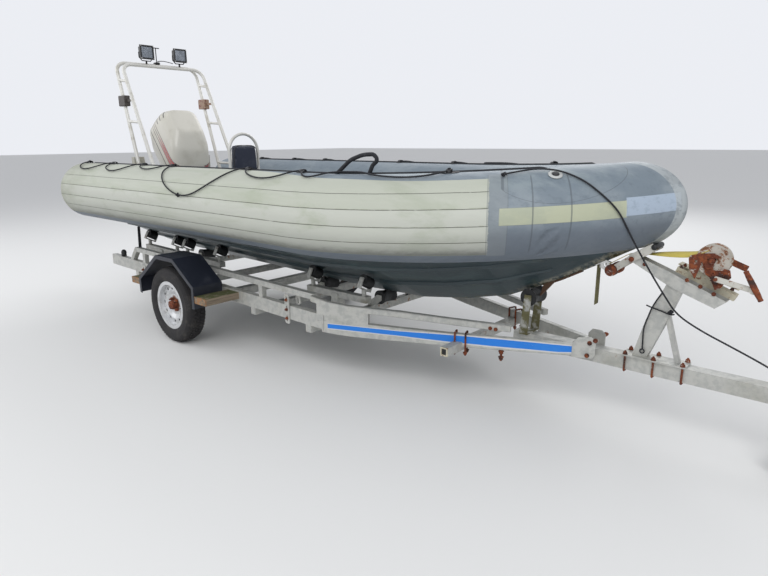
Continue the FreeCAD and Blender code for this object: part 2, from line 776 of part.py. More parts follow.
def gearcase():
    top = Part.makeLoft([oval(LEG_X, 120, 38, CAVITATION_Z), oval(LEG_X, 105, 30, GEARCASE_Z)], True, False)
    bullet_axis = V(1, 0, 0)
    bullet = Part.makeCylinder(GEARCASE_R, 250, V(LEG_X - 130, 0, GEARCASE_Z), bullet_axis)
    nose = Part.makeCone(GEARCASE_R, 12, 110, V(LEG_X + 120, 0, GEARCASE_Z), bullet_axis)
    fin = plate([V(LEG_X + 90, 0, GEARCASE_Z - 30), V(LEG_X - 20, 0, SKEG_Z), V(LEG_X - 90, 0, SKEG_Z),
                 V(LEG_X - 70, 0, GEARCASE_Z - 30)], 9)
    flat = box(LEG_X - 250, LEG_X + 110, -95, 95, CAVITATION_Z - 12, CAVITATION_Z)
    lower = fuse([top, bullet, nose, fin, flat])
    return engine(lower)


def propeller():
    """Hub and pitched blades behind the gearcase."""
    x = LEG_X - 130 - RUN_CLEAR
    hub = Part.makeCylinder(42, 105, V(x - 105, 0, GEARCASE_Z), V(1, 0, 0))
    blades = []
    for i in range(PROP_BLADES):
        root = Part.Wire(Part.Ellipse(V(0, 0, 30), 46, 5).toShape())
        tip = Part.Wire(Part.Ellipse(V(0, 0, PROP_R), 22, 2.5).toShape())
        middle = Part.Wire(Part.Ellipse(V(0, 0, 105), 62, 4).toShape())
        root.rotate(V(0, 0, 0), V(0, 0, 1), 62)
        middle.rotate(V(0, 0, 0), V(0, 0, 1), 38)
        tip.rotate(V(0, 0, 0), V(0, 0, 1), 22)
        blade = Part.makeLoft([root, middle, tip], True, False)
        blade.rotate(V(0, 0, 0), V(1, 0, 0), 360.0 * i / PROP_BLADES)
        blade.translate(V(x - 54, 0, GEARCASE_Z))
        blades.append(blade)
    return engine(fuse([hub] + blades))


# Trailer frame

def rail_z(x):
    """Mid height of the lower rail at a station; the frame stands nose down."""
    return RAIL_MID_Z - RAIL_FALL * x


def rail_y():
    return RAIL_Y - RAIL_WIDE / 2


def rail_lower():
    y = rail_y()
    return bar(V(station(RAIL_REAR), y, rail_z(RAIL_REAR)), V(station(RAIL_KINK), y, rail_z(RAIL_KINK)),
               RAIL_WIDE, RAIL_DEEP)


def upper_bars():
    y = rail_y()
    rear, front = UPPER_REAR, UPPER_FRONT
    meet_rear = rear - 120
    lift = UPPER_RISE
    bars = [bar(V(station(rear), y, rail_z(rear) + lift), V(station(front), y, rail_z(front) + lift),
                RAIL_WIDE - 5, UPPER_DEEP)]
    bars.append(bar(V(station(meet_rear), y, rail_z(meet_rear)),
                    V(station(rear) + 8, y, rail_z(rear) + lift), RAIL_WIDE - 5, UPPER_DEEP))
    for x in POST_STATIONS:
        bars.append(box(station(x) - POST_WIDE / 2, station(x) + POST_WIDE / 2, y - 18, y + 18,
                        rail_z(x), rail_z(x) + lift))
    return bars


def rail_upper(lower):
    return fuse(upper_bars()).cut(lower)


def front_rail(lower):
    """The rail that runs from the kink to the drawbar, and the tube above it."""
    y = rail_y()
    z = rail_z(RAIL_KINK)
    start = V(station(RAIL_KINK) - 8, y, z)
    end = V(station(JUNCTION), DRAWBAR / 2 + FRONT_RAIL_WIDE / 2, DRAWBAR_Z + 14)
    low = bar(start, end, FRONT_RAIL_WIDE, FRONT_RAIL_DEEP)
    top_start = V(station(UPPER_FRONT) + 4, y, rail_z(UPPER_FRONT) + UPPER_RISE)
    share = 0.62
    top_end = start + (end - start) * share + V(0, 0, FRONT_RAIL_DEEP / 2 + 6)
    high = bar(top_start, top_end, RAIL_WIDE - 8, UPPER_DEEP)
    return fuse([low, high])


def drawbar():
    half = DRAWBAR / 2
    return box(station(DRAWBAR_REAR), station(DRAWBAR_FRONT), -half, half,
               DRAWBAR_Z - half, DRAWBAR_Z + half)


def cross_z(x):
    """Mid height of a cross member hung under the lower rails."""
    return rail_z(x) - RAIL_DEEP / 2 - CROSS_DEEP / 2 + 1


def cross_stations():
    return sorted(set(BOGIE_STATIONS + KEEL_STATIONS))


def cross_members(rails):
    """Square tubes across, under the rails, each trimmed to the rails' under side."""
    half = CROSS_DEEP / 2
    tubes = []
    for x in cross_stations():
        z = cross_z(x)
        tubes.append(box(station(x) - half, station(x) + half, -RAIL_Y, RAIL_Y, z - half, z + half))
    z = DRAWBAR_Z + 14 - FRONT_RAIL_DEEP / 2 - half + 22
    x = FRONT_CROSS
    tubes.append(box(station(x) - half, station(x) + half, -FRONT_CROSS_HALF, FRONT_CROSS_HALF,
                     z - half, z + half))
    shape = Part.makeCompound(tubes)
    for rail in rails:
        shape = shape.cut(rail)
    return Part.makeCompound([s for s in shape.Solids if s.BoundBox.YLength > RAIL_Y])


# Axle, wheels and mudguards

def beam_z():
    return rail_z(BEAM_STATION) - RAIL_DEEP / 2 - BEAM_DEEP / 2 + 1


def beam_half():
    return TYRE_OUTER - TYRE_WIDE - 62


def axle_beam(rails):
    z = beam_z()
    x = station(BEAM_STATION)
    half = BEAM_DEEP / 2
    solid = box(x - half, x + half, -beam_half(), beam_half(), z - half, z + half)
    for rail in rails:
        solid = solid.cut(rail)
    return max(solid.Solids, key=lambda s: s.Volume)


def suspension_arm():
    """The trailing arm and stub axle of one wheel."""
    z = beam_z()
    y0 = beam_half()
    y1 = y0 + 32
    x = station(BEAM_STATION)
    arm = bar(V(x + 28, (y0 + y1) / 2, z), V(station(0) - 30, (y0 + y1) / 2, TYRE_R), y1 - y0, 54)
    stub = rod(V(station(0), y0, TYRE_R), V(station(0), TYRE_OUTER - 62, TYRE_R), HUB_R - 8)
    drum = rod(V(station(0), y1, TYRE_R), V(station(0), y1 + 30, TYRE_R), 88)
    return fuse([arm, stub, drum])


def tyre():
    inner = TYRE_OUTER - TYRE_WIDE
    y0, y1 = inner, TYRE_OUTER
    bulge = (TYRE_R + RIM_R) / 2
    bead, top = FLANGE_IN + FLANGE_THICK + SOFT_CLEAR, RIM_R + SOFT_CLEAR
    pts = [(RIM_BEAD_R, y0 + bead), (top, y0 + bead), (top, y0 + 11), (bulge, y0), (TYRE_R - 21, y0 + 8),
           (TYRE_R - 4, y0 + 22), (TYRE_R, y0 + 40), (TYRE_R, y1 - 40), (TYRE_R - 4, y1 - 22),
           (TYRE_R - 21, y1 - 8), (bulge, y1),
           (top, y1 - 11), (top, y1 - bead), (RIM_BEAD_R, y1 - bead)]
    return revolve_y(pts, station(0), TYRE_R)


def rim():
    """A pressed steel rim with a holed disc and a hub bore."""
    y0, y1 = TYRE_OUTER - TYRE_WIDE + FLANGE_IN, TYRE_OUTER - FLANGE_IN
    face = y1 - 38
    seat = RIM_BEAD_R - SOFT_CLEAR
    t = FLANGE_THICK
    pts = [(seat - 9, y0), (RIM_R, y0), (RIM_R, y0 + t), (seat, y0 + t), (seat, y1 - t), (RIM_R, y1 - t),
           (RIM_R, y1), (seat - 9, y1), (seat - 11, face + 4), (108, face + 10), (78, face - 6),
           (HUB_R, face - 6), (HUB_R, face - 12), (82, face - 12), (110, face + 4), (seat - 13, face - 3),
           (seat - 11, y0 + 8)]
    solid = revolve_y(pts, station(0), TYRE_R)
    for i in range(12):
        turn = math.radians(30 * i)
        at = V(station(0) + 128 * math.cos(turn), y0, TYRE_R + 128 * math.sin(turn))
        solid = solid.cut(Part.makeCylinder(12, TYRE_WIDE, at, V(0, 1, 0)))
    return solid


def wheel_hub():
    inner = TYRE_OUTER - TYRE_WIDE
    face = TYRE_OUTER - FLANGE_IN - 38
    at = V(station(0), face - 44, TYRE_R)
    hub = Part.makeCylinder(62, 32, at, V(0, 1, 0))
    nose = Part.makeCylinder(HUB_R, 78, at, V(0, 1, 0))
    bore = Part.makeCylinder(HUB_R - 8 + RUN_CLEAR, 62, at, V(0, 1, 0))
    return fuse([hub, nose]).cut(bore)


def mudguard():
    """A faceted guard whose two feet stand against their bearers, with a lip down its outer edge."""
    outer, inner = MUDGUARD_OUTER, MUDGUARD_OUTER - MUDGUARD_WIDE
    (_, rear), (front, _) = GUARD_BARS
    shoulders, foot, top = MUDGUARD_SHOULDERS, MUDGUARD_FOOT, TYRE_R + MUDGUARD_GAP
    corners = [V(front, 0, foot), V(front, 0, shoulders[1]), V(MUDGUARD_FLAT[1], 0, top),
               V(MUDGUARD_FLAT[0], 0, top), V(rear, 0, shoulders[0]), V(rear, 0, foot)]
    centre = V(station(0), inner, TYRE_R)

    def ring(inset):
        return [centre + corner * (1 - inset / corner.Length) for corner in corners]

    t = MUDGUARD_THICK
    shell = Part.Face(polygon(ring(0) + list(reversed(ring(t)))))
    shell = shell.extrude(V(0, outer - inner, 0))
    lip = Part.Face(polygon(ring(0) + list(reversed(ring(MUDGUARD_LIP)))))
    lip = lip.extrude(V(0, t, 0))
    lip.translate(V(0, outer - inner - t, 0))
    return fuse([shell, lip])


def mudguard_bars(blocked):
    """Broad bearers from the lower rail out to the mudguard's two feet."""
    bars = []
    for rear, front in GUARD_BARS:
        z = rail_z((rear + front) / 2) + RAIL_DEEP / 2 - 12
        bars.append(box(station(rear), station(front), RAIL_Y, MUDGUARD_OUTER - 5, z - GUARD_BAR_DEEP, z))
    shape = Part.makeCompound(bars)
    for other in blocked:
        shape = shape.cut(other)
    return shape


# Rollers

def hull_height(x, y):
    """Height of the hull's bottom at a station and half-breadth inside the chine."""
    row = HULL_STATIONS[0]
    slope = (row[3] - row[1]) / row[2]
    return keel_height(x) + slope * abs(y)


def deadrise():
    row = HULL_STATIONS[0]
    return math.atan2(row[3] - row[1], row[2])


def roller(x, y, radius, long):
    """A roller on the hull's bottom, its axle square to the keel and along the deadrise."""
    lean = deadrise()
    out = V(0, math.cos(lean), math.sin(lean))
    down = V(0, math.sin(lean), -math.cos(lean))
    touch = V(station(x), y, hull_height(x, y))
    centre = touch + down * (radius + RUN_CLEAR)
    return centre, out, Part.makeCylinder(radius, long, centre - out * long / 2, out)


def bogie(x):
    """A rocker beam with a bracketed roller at each end, on a post from the cross member."""
    beam_parts = []
    rollers = []
    seats = []
    for reach in (-BOGIE_REACH, BOGIE_REACH):
        centre, out, wheel = roller(x + reach, ROLLER_Y, ROLLER_R, ROLLER_LONG)
        down = V(0, out.z, -out.y)
        pin = rod(centre - out * 58, centre + out * 58, 8)
        rollers.append(wheel.cut(pin))
        beam_parts.append(pin)
        for end in (-1, 1):
            ear_at = centre + out * end * (ROLLER_LONG / 2 + 9)
            beam_parts.append(bar(ear_at - down * 14, ear_at + down * 56, 34, 8))
        bridge = centre + down * 52
        beam_parts.append(bar(bridge - out * 53, bridge + out * 53, 34, 8))
        seat = V(bridge.x, bridge.y, centre.z - ROCKER_DROP)
        beam_parts.append(rod(bridge, seat, 15))
        seats.append(seat)
    y = bridge.y
    z = (seats[0].z + seats[1].z) / 2
    over = (seats[1] - seats[0]).normalize() * 40
    sink = V(0, 0, -ROCKER_DEEP / 2)
    beam_parts.append(bar(seats[0] - over + sink, seats[1] + over + sink, ROCKER_WIDE, ROCKER_DEEP))
    foot = cross_z(x) + CROSS_DEEP / 2
    beam_parts.append(box(station(x) - 30, station(x) + 30, y - ROCKER_WIDE / 2 - 8, y + ROCKER_WIDE / 2 + 8,
                          foot, z - ROCKER_DEEP / 3))
    return fuse(beam_parts), Part.makeCompound(rollers)


def keel_spool(x):
    """A waisted roller under the keel."""
    r, half, waist = KEEL_ROLLER_R, KEEL_ROLLER_HALF, 20
    outline = [V(0, -half, 0), V(r + KEEL_FLARE, -half, 0), V(r, -waist, 0), V(r, waist, 0),
               V(r + KEEL_FLARE, half, 0), V(0, half, 0)]
    spool = Part.Face(polygon(outline)).revolve(V(0, 0, 0), V(0, 1, 0), 360)
    rise = math.atan2(keel_height(x + 5) - keel_height(x - 5), 10)
    off = r + RUN_CLEAR
    centre = V(station(x) + off * math.sin(rise), 0, keel_height(x) - off * math.cos(rise))
    spool.translate(centre)
    return centre, spool


def keel_roller(x, foot_x, foot_z):
    """The spool, its pin and the two cheeks that carry it from a foot on the frame."""
    centre, spool = keel_spool(x)
    reach = KEEL_ROLLER_HALF + 8
    pin = rod(centre - V(0, reach, 0), centre + V(0, reach, 0), 9)
    pieces = [pin]
    for side in (-1, 1):
        y = side * (KEEL_ROLLER_HALF + 5)
        outline = [V(centre.x - 20, 0, centre.z + 16), V(centre.x + 20, 0, centre.z + 16),
                   V(centre.x + 20, 0, centre.z - 20), V(foot_x + 25, 0, foot_z), V(foot_x - 25, 0, foot_z),
                   V(foot_x - 25, 0, foot_z + 20)]
        cheek = plate(outline, 6)
        cheek.translate(V(0, y, 0))
        pieces.append(cheek)
    tie = KEEL_ROLLER_HALF + 8
    pieces.append(box(foot_x - 25, foot_x + 25, -tie, tie, foot_z, foot_z + 6))
    return fuse(pieces), spool.cut(pin)


def keel_rollers():
    """Carriers and spools on the cross members, and one on the drawbar under the stem."""
    carriers, spools = [], []
    for x in KEEL_STATIONS:
        carrier, spool = keel_roller(x + KEEL_REACH, station(x), cross_z(x) + CROSS_DEEP / 2)
        carriers.append(carrier)
        spools.append(spool)
    carrier, spool = keel_roller(FRONT_ROLLER, station(FRONT_ROLLER), DRAWBAR_Z + DRAWBAR / 2)
    return carriers + [carrier], spools + [spool]


# Winch post

def at(pair, y=0.0):
    return V(station(pair[0]), y, pair[1])


def side_plate(points, thick, y=0.0):
    """A plate cut to an outline of station and height pairs, about a given breadth."""
    shape = plate([V(station(x), 0, z) for x, z in points], thick)
    shape.translate(V(0, y, 0))
    return shape


def arm_channel():
    """The tapering channel that carries the snubber at its rear and the winch at its front."""
    inner = side_plate(ARM_OUTLINE, ARM_WIDE - 2 * ARM_WALL)
    inner.translate(V(0, 0, ARM_WALL))
    return side_plate(ARM_OUTLINE, ARM_WIDE).cut(inner)


def winch_base():
    rear, front = WINCH_BASE
    return bar(at(rear), at(front), ARM_WIDE - 2 * ARM_WALL, WINCH_BASE_DEEP)


def winch_post():
    """The kinked blade, its strut and the channel arm, on a plate clamped to the drawbar."""
    base_z = DRAWBAR_Z + DRAWBAR / 2
    foot = box(station(POST_BASE[0]), station(POST_BASE[1]), -50, 50, base_z, base_z + 9)
    blade = side_plate(POST_BLADE, 50).cut(side_plate(ARM_OUTLINE, ARM_WIDE))
    strut_foot, strut_top = POST_STRUT
    strut = bar(at(strut_foot), at(strut_top), 36, 20)
    return fuse([foot, blade, strut, arm_channel()]).cut(winch_base())


def snubber(post):
    """A rocker of two plates on the arm's rear bolt, its roller on the stem and its pad under the bow."""
    pieces = []
    out = ARM_WIDE / 2 + 14
    for side in (-1, 1):
        rocker = bar(at(SNUBBER_LOW), at(SNUBBER_HIGH), 6, 34)
        rocker.translate(V(0, side * out, 0))
        pieces.append(rocker)
        roller = at(SNUBBER_LOW, side * (out - 30)), at(SNUBBER_LOW, side * (out + 22))
        pieces.append(rod(*roller, SNUBBER_ROLLER))
    reach = out + 8
    pieces.append(rod(at(SNUBBER_LOW, -reach), at(SNUBBER_LOW, reach), 8))
    pieces.append(rod(at(SNUBBER_HIGH, -reach), at(SNUBBER_HIGH, reach), SNUBBER_PAD))
    pieces.append(rod(at(SNUBBER_BOLT, -reach), at(SNUBBER_BOLT, reach), 9))
    return fuse(pieces).cut(post)


def winch():
    """Cheeks on a nested base, a flanged drum, the pinion's gear and the cranked handle."""
    cheek_y = ARM_WIDE / 2 - ARM_WALL - 2.5
    drum_half = cheek_y - 2.5 - CHEEK_GAP
    pieces = [winch_base()]
    for side in (-1, 1):
        pieces.append(side_plate(CHEEK, 5, side * cheek_y))
        pieces.append(rod(at(DRUM, side * drum_half), at(DRUM, side * (drum_half - 3)), DRUM_R))
    pieces.append(rod(at(DRUM, -drum_half), at(DRUM, drum_half), DRUM_R * DRUM_CORE))
    pieces.append(rod(at(DRUM, -cheek_y - 22), at(DRUM, cheek_y + 22), 9))
    pieces.append(rod(at(PINION, CRANK_Y - 8), at(PINION, cheek_y + 14), 8))
    pieces.append(rod(at(PINION, -cheek_y - 12), at(PINION, -cheek_y - 4), PINION_R))
    pieces.append(rod(at(DRUM, -cheek_y - 12), at(DRUM, -cheek_y - 4), DRUM_R * DRUM_CORE))
    pieces.append(bar(at(PINION, CRANK_Y), at(CRANK_END, CRANK_Y), 8, 26))
    top, low = HANDLE_ENDS
    pieces.append(rod(at(top, CRANK_Y - 12), at(low, CRANK_Y - 12), 12))
    return fuse(pieces)


def winch_strap(blocked):
    """Webbing that leaves the drum, runs in the channel arm and drops from its end to the bow eye."""
    end = eye_centre() + V(BOW_EYE_R - 6, 0, 8)
    line = [at(DRUM), at(STRAP_TURN), end]
    lift = V(0, 0, STRAP_THICK / 2)
    strap = plate([p + lift for p in line] + [p - lift for p in reversed(line)], STRAP_WIDE)
    return less(strap, blocked)


def tie_downs(blocked):
    """Webbing from the transom's eyes to the side frames, and two straps at the stem."""
    pieces = []
    eye_y, eye_z = TOW_EYE
    aft = station(TRANSOM_AFT)
    foot_x, foot_y, foot_z = STERN_STRAP_FOOT
    torus = Part.makeTorus(TOW_EYE_R, TOW_EYE_BAR, V(aft - TOW_EYE_R, eye_y, eye_z), V(0, 1, 0))
    ring = less(torus, blocked)
    start = V(aft - TOW_EYE_R, eye_y, eye_z - TOW_EYE_R - TOW_EYE_BAR)
    web = less(bar(start, V(station(foot_x), foot_y, foot_z), STRAP_W, STRAP_THICK), [ring] + blocked)
    for side in SIDES:
        pieces += [on_side(ring, side), on_side(web, side)]
    hang_x, hang_z = HANGING_STRAP
    top = keel_height(hang_x)
    hanging = box(station(hang_x) - 2, station(hang_x) + 1, -HANGING_W / 2, HANGING_W / 2, hang_z, top)
    first, last = STEM_STRAP
    stations = [first + (last - first) * i / 4 for i in range(5)]
    lower = [V(station(x), 0, keel_height(x) - 2 * STRAP_THICK) for x in stations]
    upper = [p + V(0, 0, 4 * STRAP_THICK) for p in reversed(lower)]
    stem = plate([lower[0] + V(-20, 0, -60), lower[0] + V(-16, 0, -60)] + lower[1:] + upper, STRAP_W)
    return pieces + [less(hanging, blocked), less(stem, blocked)]


# Coupling and jockey wheel

def coupling():
    """The ball coupling: a socketed head, its tube and its lever."""
    z = DRAWBAR_Z - 4
    back = station(DRAWBAR_FRONT)
    nose = station(COUPLING_NOSE)
    tail = box(back, nose - 70, -32, 32, z - 28, z + 30)
    head = Part.makeSphere(42, V(nose - 42, 0, z))
    head = head.common(box(nose - 90, nose, -50, 50, z - 26, z + 50))
    socket = Part.makeSphere(BALL_R, V(nose - 42, 0, z - 10))
    mouth = Part.makeCylinder(BALL_R, 40, V(nose - 42, 0, z - 50), UP)
    lever = bar(V(nose - 120, 0, z + 44), V(nose - 30, 0, z + 66), 26, 10)
    hinge = box(nose - 130, nose - 100, -13, 13, z + 25, z + 50)
    return fuse([tail, head, lever, hinge]).cut(socket).cut(mouth)


def jockey_clamp():
    """The ring on the drawbar's side that the jockey's outer tube slides in."""
    x, y = station(JOCKEY_STATION), JOCKEY_Y
    z = DRAWBAR_Z
    ring = Part.makeCylinder(JOCKEY_TUBE_R + 9, 62, V(x, y, z - 30), UP)
    lug = box(x - 22, x + 22, y, -DRAWBAR / 2, z - 30, z + 32)
    bore = Part.makeCylinder(JOCKEY_TUBE_R + RUN_CLEAR, JOCKEY_TOP, V(x, y, 0), UP)
    screw = rod(V(x, y - JOCKEY_TUBE_R - 5, z), V(x, y - JOCKEY_TUBE_R - 50, z), 7)
    handle = rod(V(x, y - JOCKEY_TUBE_R - 46, z - 34), V(x, y - JOCKEY_TUBE_R - 46, z + 34), 5)
    return fuse([ring, lug, screw, handle]).cut(bore)


def jockey_tube():
    """The outer tube with its cap and cranked handle."""
    x, y = station(JOCKEY_STATION), JOCKEY_Y
    foot = JOCKEY_TUBE_FOOT
    tube = Part.makeCylinder(JOCKEY_TUBE_R, JOCKEY_TOP - foot, V(x, y, foot), UP)
    bore = Part.makeCylinder(JOCKEY_LEG_R + RUN_CLEAR, JOCKEY_TOP - foot - 20, V(x, y, foot), UP)
    cap = Part.makeCylinder(JOCKEY_TUBE_R + 4, 14, V(x, y, JOCKEY_TOP - 4), UP)
    crank = bar(V(x, y, JOCKEY_TOP + 22), V(x - 95, y, JOCKEY_TOP + 22), 18, 8)
    stem = rod(V(x, y, JOCKEY_TOP + 5), V(x, y, JOCKEY_TOP + 26), 8)
    grip = rod(V(x - 88, y, JOCKEY_TOP + 24), V(x - 88, y, JOCKEY_TOP + 92), 11)
    return fuse([tube.cut(bore), cap, crank, stem, grip])


def jockey_leg():
    """The sliding inner tube with the swivelling fork's pin at its foot."""
    x, y = station(JOCKEY_STATION), JOCKEY_Y
    return Part.makeCylinder(JOCKEY_LEG_R, JOCKEY_LEG_LONG, V(x, y, JOCKEY_CROWN), UP)


def jockey_fork():
    x, y = station(JOCKEY_STATION), JOCKEY_Y
    r, w = JOCKEY_WHEEL_R, JOCKEY_WHEEL_WIDE
    top = JOCKEY_CROWN - RUN_CLEAR
    trail = JOCKEY_TRAIL
    crown = box(x - 62, x + 26, y - w / 2 - 14, y + w / 2 + 14, top - 10, top)
    legs = []
    for side in (-1, 1):
        outline = [V(x - 30, 0, top - 5), V(x + 20, 0, top - 5), V(x - trail + 17, 0, r - 18),
                   V(x - trail - 18, 0, r - 18)]
        leg = plate(outline, 6)
        leg.translate(V(0, y + side * (w / 2 + 11), 0))
        legs.append(leg)
    axle = rod(V(x - trail, y - w / 2 - 16, r), V(x - trail, y + w / 2 + 16, r), 8)
    return fuse([crown, axle] + legs)


def jockey_wheel():
    x, y = station(JOCKEY_STATION) - JOCKEY_TRAIL, JOCKEY_Y
    r, w = JOCKEY_WHEEL_R, JOCKEY_WHEEL_WIDE
    pts = [(8 + RUN_CLEAR, -w / 2), (28, -w / 2), (34, -w / 2 + 12), (62, -w / 2 + 12), (70, -w / 2 + 2),
           (r - 8, -w / 2 + 2), (r, -w / 2 + 12), (r, w / 2 - 12), (r - 8, w / 2 - 2), (70, w / 2 - 2),
           (62, w / 2 - 12), (34, w / 2 - 12), (28, w / 2), (8 + RUN_CLEAR, w / 2)]
    wheel = revolve_y(pts, x, r)
    wheel.translate(V(0, y, 0))
    return wheel


def build_nodes():
    nodes = {}
    side_tube = collar_side()
    bow = collar_bow()
    collars = [side_tube, mirror(side_tube), bow]
    nodes["collar_port"] = side_tube
    nodes["collar_starboard"] = mirror(side_tube)
    nodes["collar_bow"] = bow
    for side in SIDES:
        nodes["grab_line_" + side] = grab_line(side)
    nodes["painter"] = painter()
    nodes["lifting_handle"] = lifting_handle("starboard", bow)
    nodes["hull"] = hull(collars)
    nodes["deck"] = deck(collars)
    nodes["transom"] = transom(collars)
    nodes["bow_eye"] = bow_eye(nodes["hull"])

    pod = seat_pod()
    nodes["seat_pod"] = pod
    nodes["seat_cushion"] = seat_cushion()
    nodes["steering_wheel"] = steering_wheel()
    nodes["steering_column"] = steering_column(pod)
    nodes["backrest_hoop"] = backrest_hoop()
    nodes["backrest_pad"] = backrest_pad()

    hoops = [arch_hoop(FRONT_HOOP), arch_hoop(REAR_HOOP)]
    nodes["arch_front"], nodes["arch_rear"] = hoops
    nodes["arch_rungs"] = arch_rungs(hoops)
    lamps = [floodlight(side) for side in SIDES] + [masthead_light()]
    nodes["floodlights"] = Part.makeCompound(lamps)
    nodes["sidelights"] = Part.makeCompound([sidelight(side, hoops) for side in SIDES])

    nodes["clamp_bracket"] = clamp_bracket()
    nodes["swivel_bracket"] = swivel_bracket()
    nodes["outboard_leg"] = midsection()
    nodes["outboard_cowl"] = cowl()
    nodes["gearcase"] = gearcase()
    nodes["propeller"] = propeller()

    lower = rail_lower()
    upper = rail_upper(lower)
    front = front_rail(lower).cut(lower).cut(upper)
    rails = [lower, mirror(lower), front, mirror(front)]
    for side in SIDES:
        nodes["rail_lower_" + side] = on_side(lower, side)
        nodes["rail_upper_" + side] = on_side(upper, side)
        nodes["front_rail_" + side] = on_side(front, side)
        nodes["tyre_" + side] = on_side(tyre(), side)
        nodes["rim_" + side] = on_side(rim(), side)
        nodes["hub_" + side] = on_side(wheel_hub(), side)
        nodes["mudguard_" + side] = on_side(mudguard(), side)
    nodes["drawbar"] = drawbar()
    nodes["cross_members"] = cross_members(rails)
    nodes["axle_beam"] = axle_beam(rails)
    arm = suspension_arm()
    nodes["suspension_arms"] = Part.makeCompound([arm, mirror(arm)])
    guard_bars = mudguard_bars([mudguard()])
    nodes["mudguard_bars"] = Part.makeCompound([guard_bars, mirror(guard_bars)])

    carriers, rollers = keel_rollers()
    for x in BOGIE_STATIONS:
        frame, pair = bogie(x)
        carriers += [frame, mirror(frame)]
        rollers += [pair, mirror(pair)]
    nodes["roller_carriers"] = Part.makeCompound(carriers)
    nodes["hull_rollers"] = Part.makeCompound(rollers)

    post = winch_post()
    nodes["winch_post"] = post
    nodes["snubber"] = snubber(post)
    nodes["winch"] = winch()
    nodes["winch_strap"] = winch_strap([nodes["winch"], nodes["bow_eye"], post])
    nodes["tie_down"] = Part.makeCompound(tie_downs([nodes["hull"], nodes["bow_eye"], upper]))
    nodes["coupling"] = coupling()
    nodes["jockey_clamp"] = jockey_clamp()
    nodes["jockey_tube"] = jockey_tube()
    nodes["jockey_leg"] = jockey_leg()
    nodes["jockey_fork"] = jockey_fork()
    nodes["jockey_wheel"] = jockey_wheel()
    return nodes


def main():
    os.makedirs("parts", exist_ok=True)
    for name, shape in build_nodes().items():
        shape.exportStep("parts/" + name + ".step")


main()
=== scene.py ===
# %% [markdown]
# # Rigid inflatable boat on its roller trailer
# The engineering solids come in first and keep every size. They stay where they are, and the cells
# below give them their real finish, or put a finer piece in their place that rides on the same body.

# %% Load the solids
import math

import bmesh
import bpy
import numpy as np
from mathutils import Matrix, Vector


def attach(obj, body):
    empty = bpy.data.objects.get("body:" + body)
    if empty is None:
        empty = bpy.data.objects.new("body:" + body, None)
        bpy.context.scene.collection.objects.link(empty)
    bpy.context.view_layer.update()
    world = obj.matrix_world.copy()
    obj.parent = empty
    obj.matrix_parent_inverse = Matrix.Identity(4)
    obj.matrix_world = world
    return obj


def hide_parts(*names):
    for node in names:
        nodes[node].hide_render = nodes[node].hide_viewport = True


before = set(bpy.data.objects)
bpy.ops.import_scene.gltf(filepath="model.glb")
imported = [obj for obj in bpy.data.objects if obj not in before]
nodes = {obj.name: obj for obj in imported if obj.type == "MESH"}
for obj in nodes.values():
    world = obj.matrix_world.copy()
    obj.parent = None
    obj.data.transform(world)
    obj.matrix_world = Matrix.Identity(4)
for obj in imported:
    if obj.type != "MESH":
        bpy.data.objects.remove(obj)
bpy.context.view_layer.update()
scene = bpy.context.scene
AXLE = -1.0039
TYRE_R = 0.289
ROOT = "boat_and_trailer"


def at(station, y, z):
    """A point from its station ahead of the axle, in metres."""
    return Vector((AXLE + station, y, z))


def linked(name, data):
    """A new object in the scene."""
    made = bpy.data.objects.new(name, data)
    scene.collection.objects.link(made)
    return made


def evaluated(made):
    """A new mesh of what an object is after its modifiers."""
    graph = bpy.context.evaluated_depsgraph_get()
    return bpy.data.meshes.new_from_object(made.evaluated_get(graph), depsgraph=graph)


# %% [markdown]
# ## Camera
# The picture was taken at standing height off the starboard bow. The place and the turn come from a
# fit of the wheels, the rails and the tube. The camera is made from its own three axes, which
# avoids any doubt about the order of turns.

# %% Camera
CAMERA_PLACE = at(4.0212, -3.0314, 1.4809)
YAW, PITCH, ROLL = math.radians(41.438), math.radians(14.126), -0.0075
FOCAL_PIXELS, PICTURE_PIXELS, SENSOR_MM = 588.6, 768, 36
look = Vector((-math.sin(YAW) * math.cos(PITCH), math.cos(YAW) * math.cos(PITCH), -math.sin(PITCH)))
right = Vector((math.cos(YAW), math.sin(YAW), 0))
over = right.cross(look)
turned_right = right * math.cos(ROLL) + over * math.sin(ROLL)
turned_up = over * math.cos(ROLL) - right * math.sin(ROLL)
camera_data = bpy.data.cameras.new("camera")
camera_data.sensor_width = SENSOR_MM
camera_data.lens = FOCAL_PIXELS * SENSOR_MM / PICTURE_PIXELS
camera = linked("camera", camera_data)
axes = Matrix((turned_right, turned_up, -look)).transposed()
camera.matrix_world = Matrix.Translation(CAMERA_PLACE) @ axes.to_4x4()
scene.camera = camera
scene.view_settings.view_transform = "Standard"
print("lens", round(camera_data.lens, 2), "mm")

# %% [markdown]
# ## Floor, sky and lamps
# An overcast yard gives soft light from everywhere and one weak bright side. A large pale floor,
# an even sky and three broad lamps give the same and hide nothing in black shadow. The sky is a
# little brighter where the camera and the shiny metal see it than where it lights the boat.

# %% Floor, sky and lamps
FLOOR_SIZE, LAMP_SIZE = 160, 6
SKY_LIGHTS, SKY_SEEN = 0.62, 0.90


def plain(name, colour, rough=0.6):
    made = bpy.data.materials.new(name)
    made.use_nodes = True
    shader = made.node_tree.nodes["Principled BSDF"]
    shader.inputs["Base Color"].default_value = (*colour, 1)
    shader.inputs["Roughness"].default_value = rough
    return made


def lamp(name, place, aim, size, power):
    data = bpy.data.lights.new(name, "AREA")
    data.size = size
    data.energy = power
    made = linked(name, data)
    turn = (aim - place).to_track_quat("-Z", "Y").to_matrix().to_4x4()
    made.matrix_world = Matrix.Translation(place) @ turn


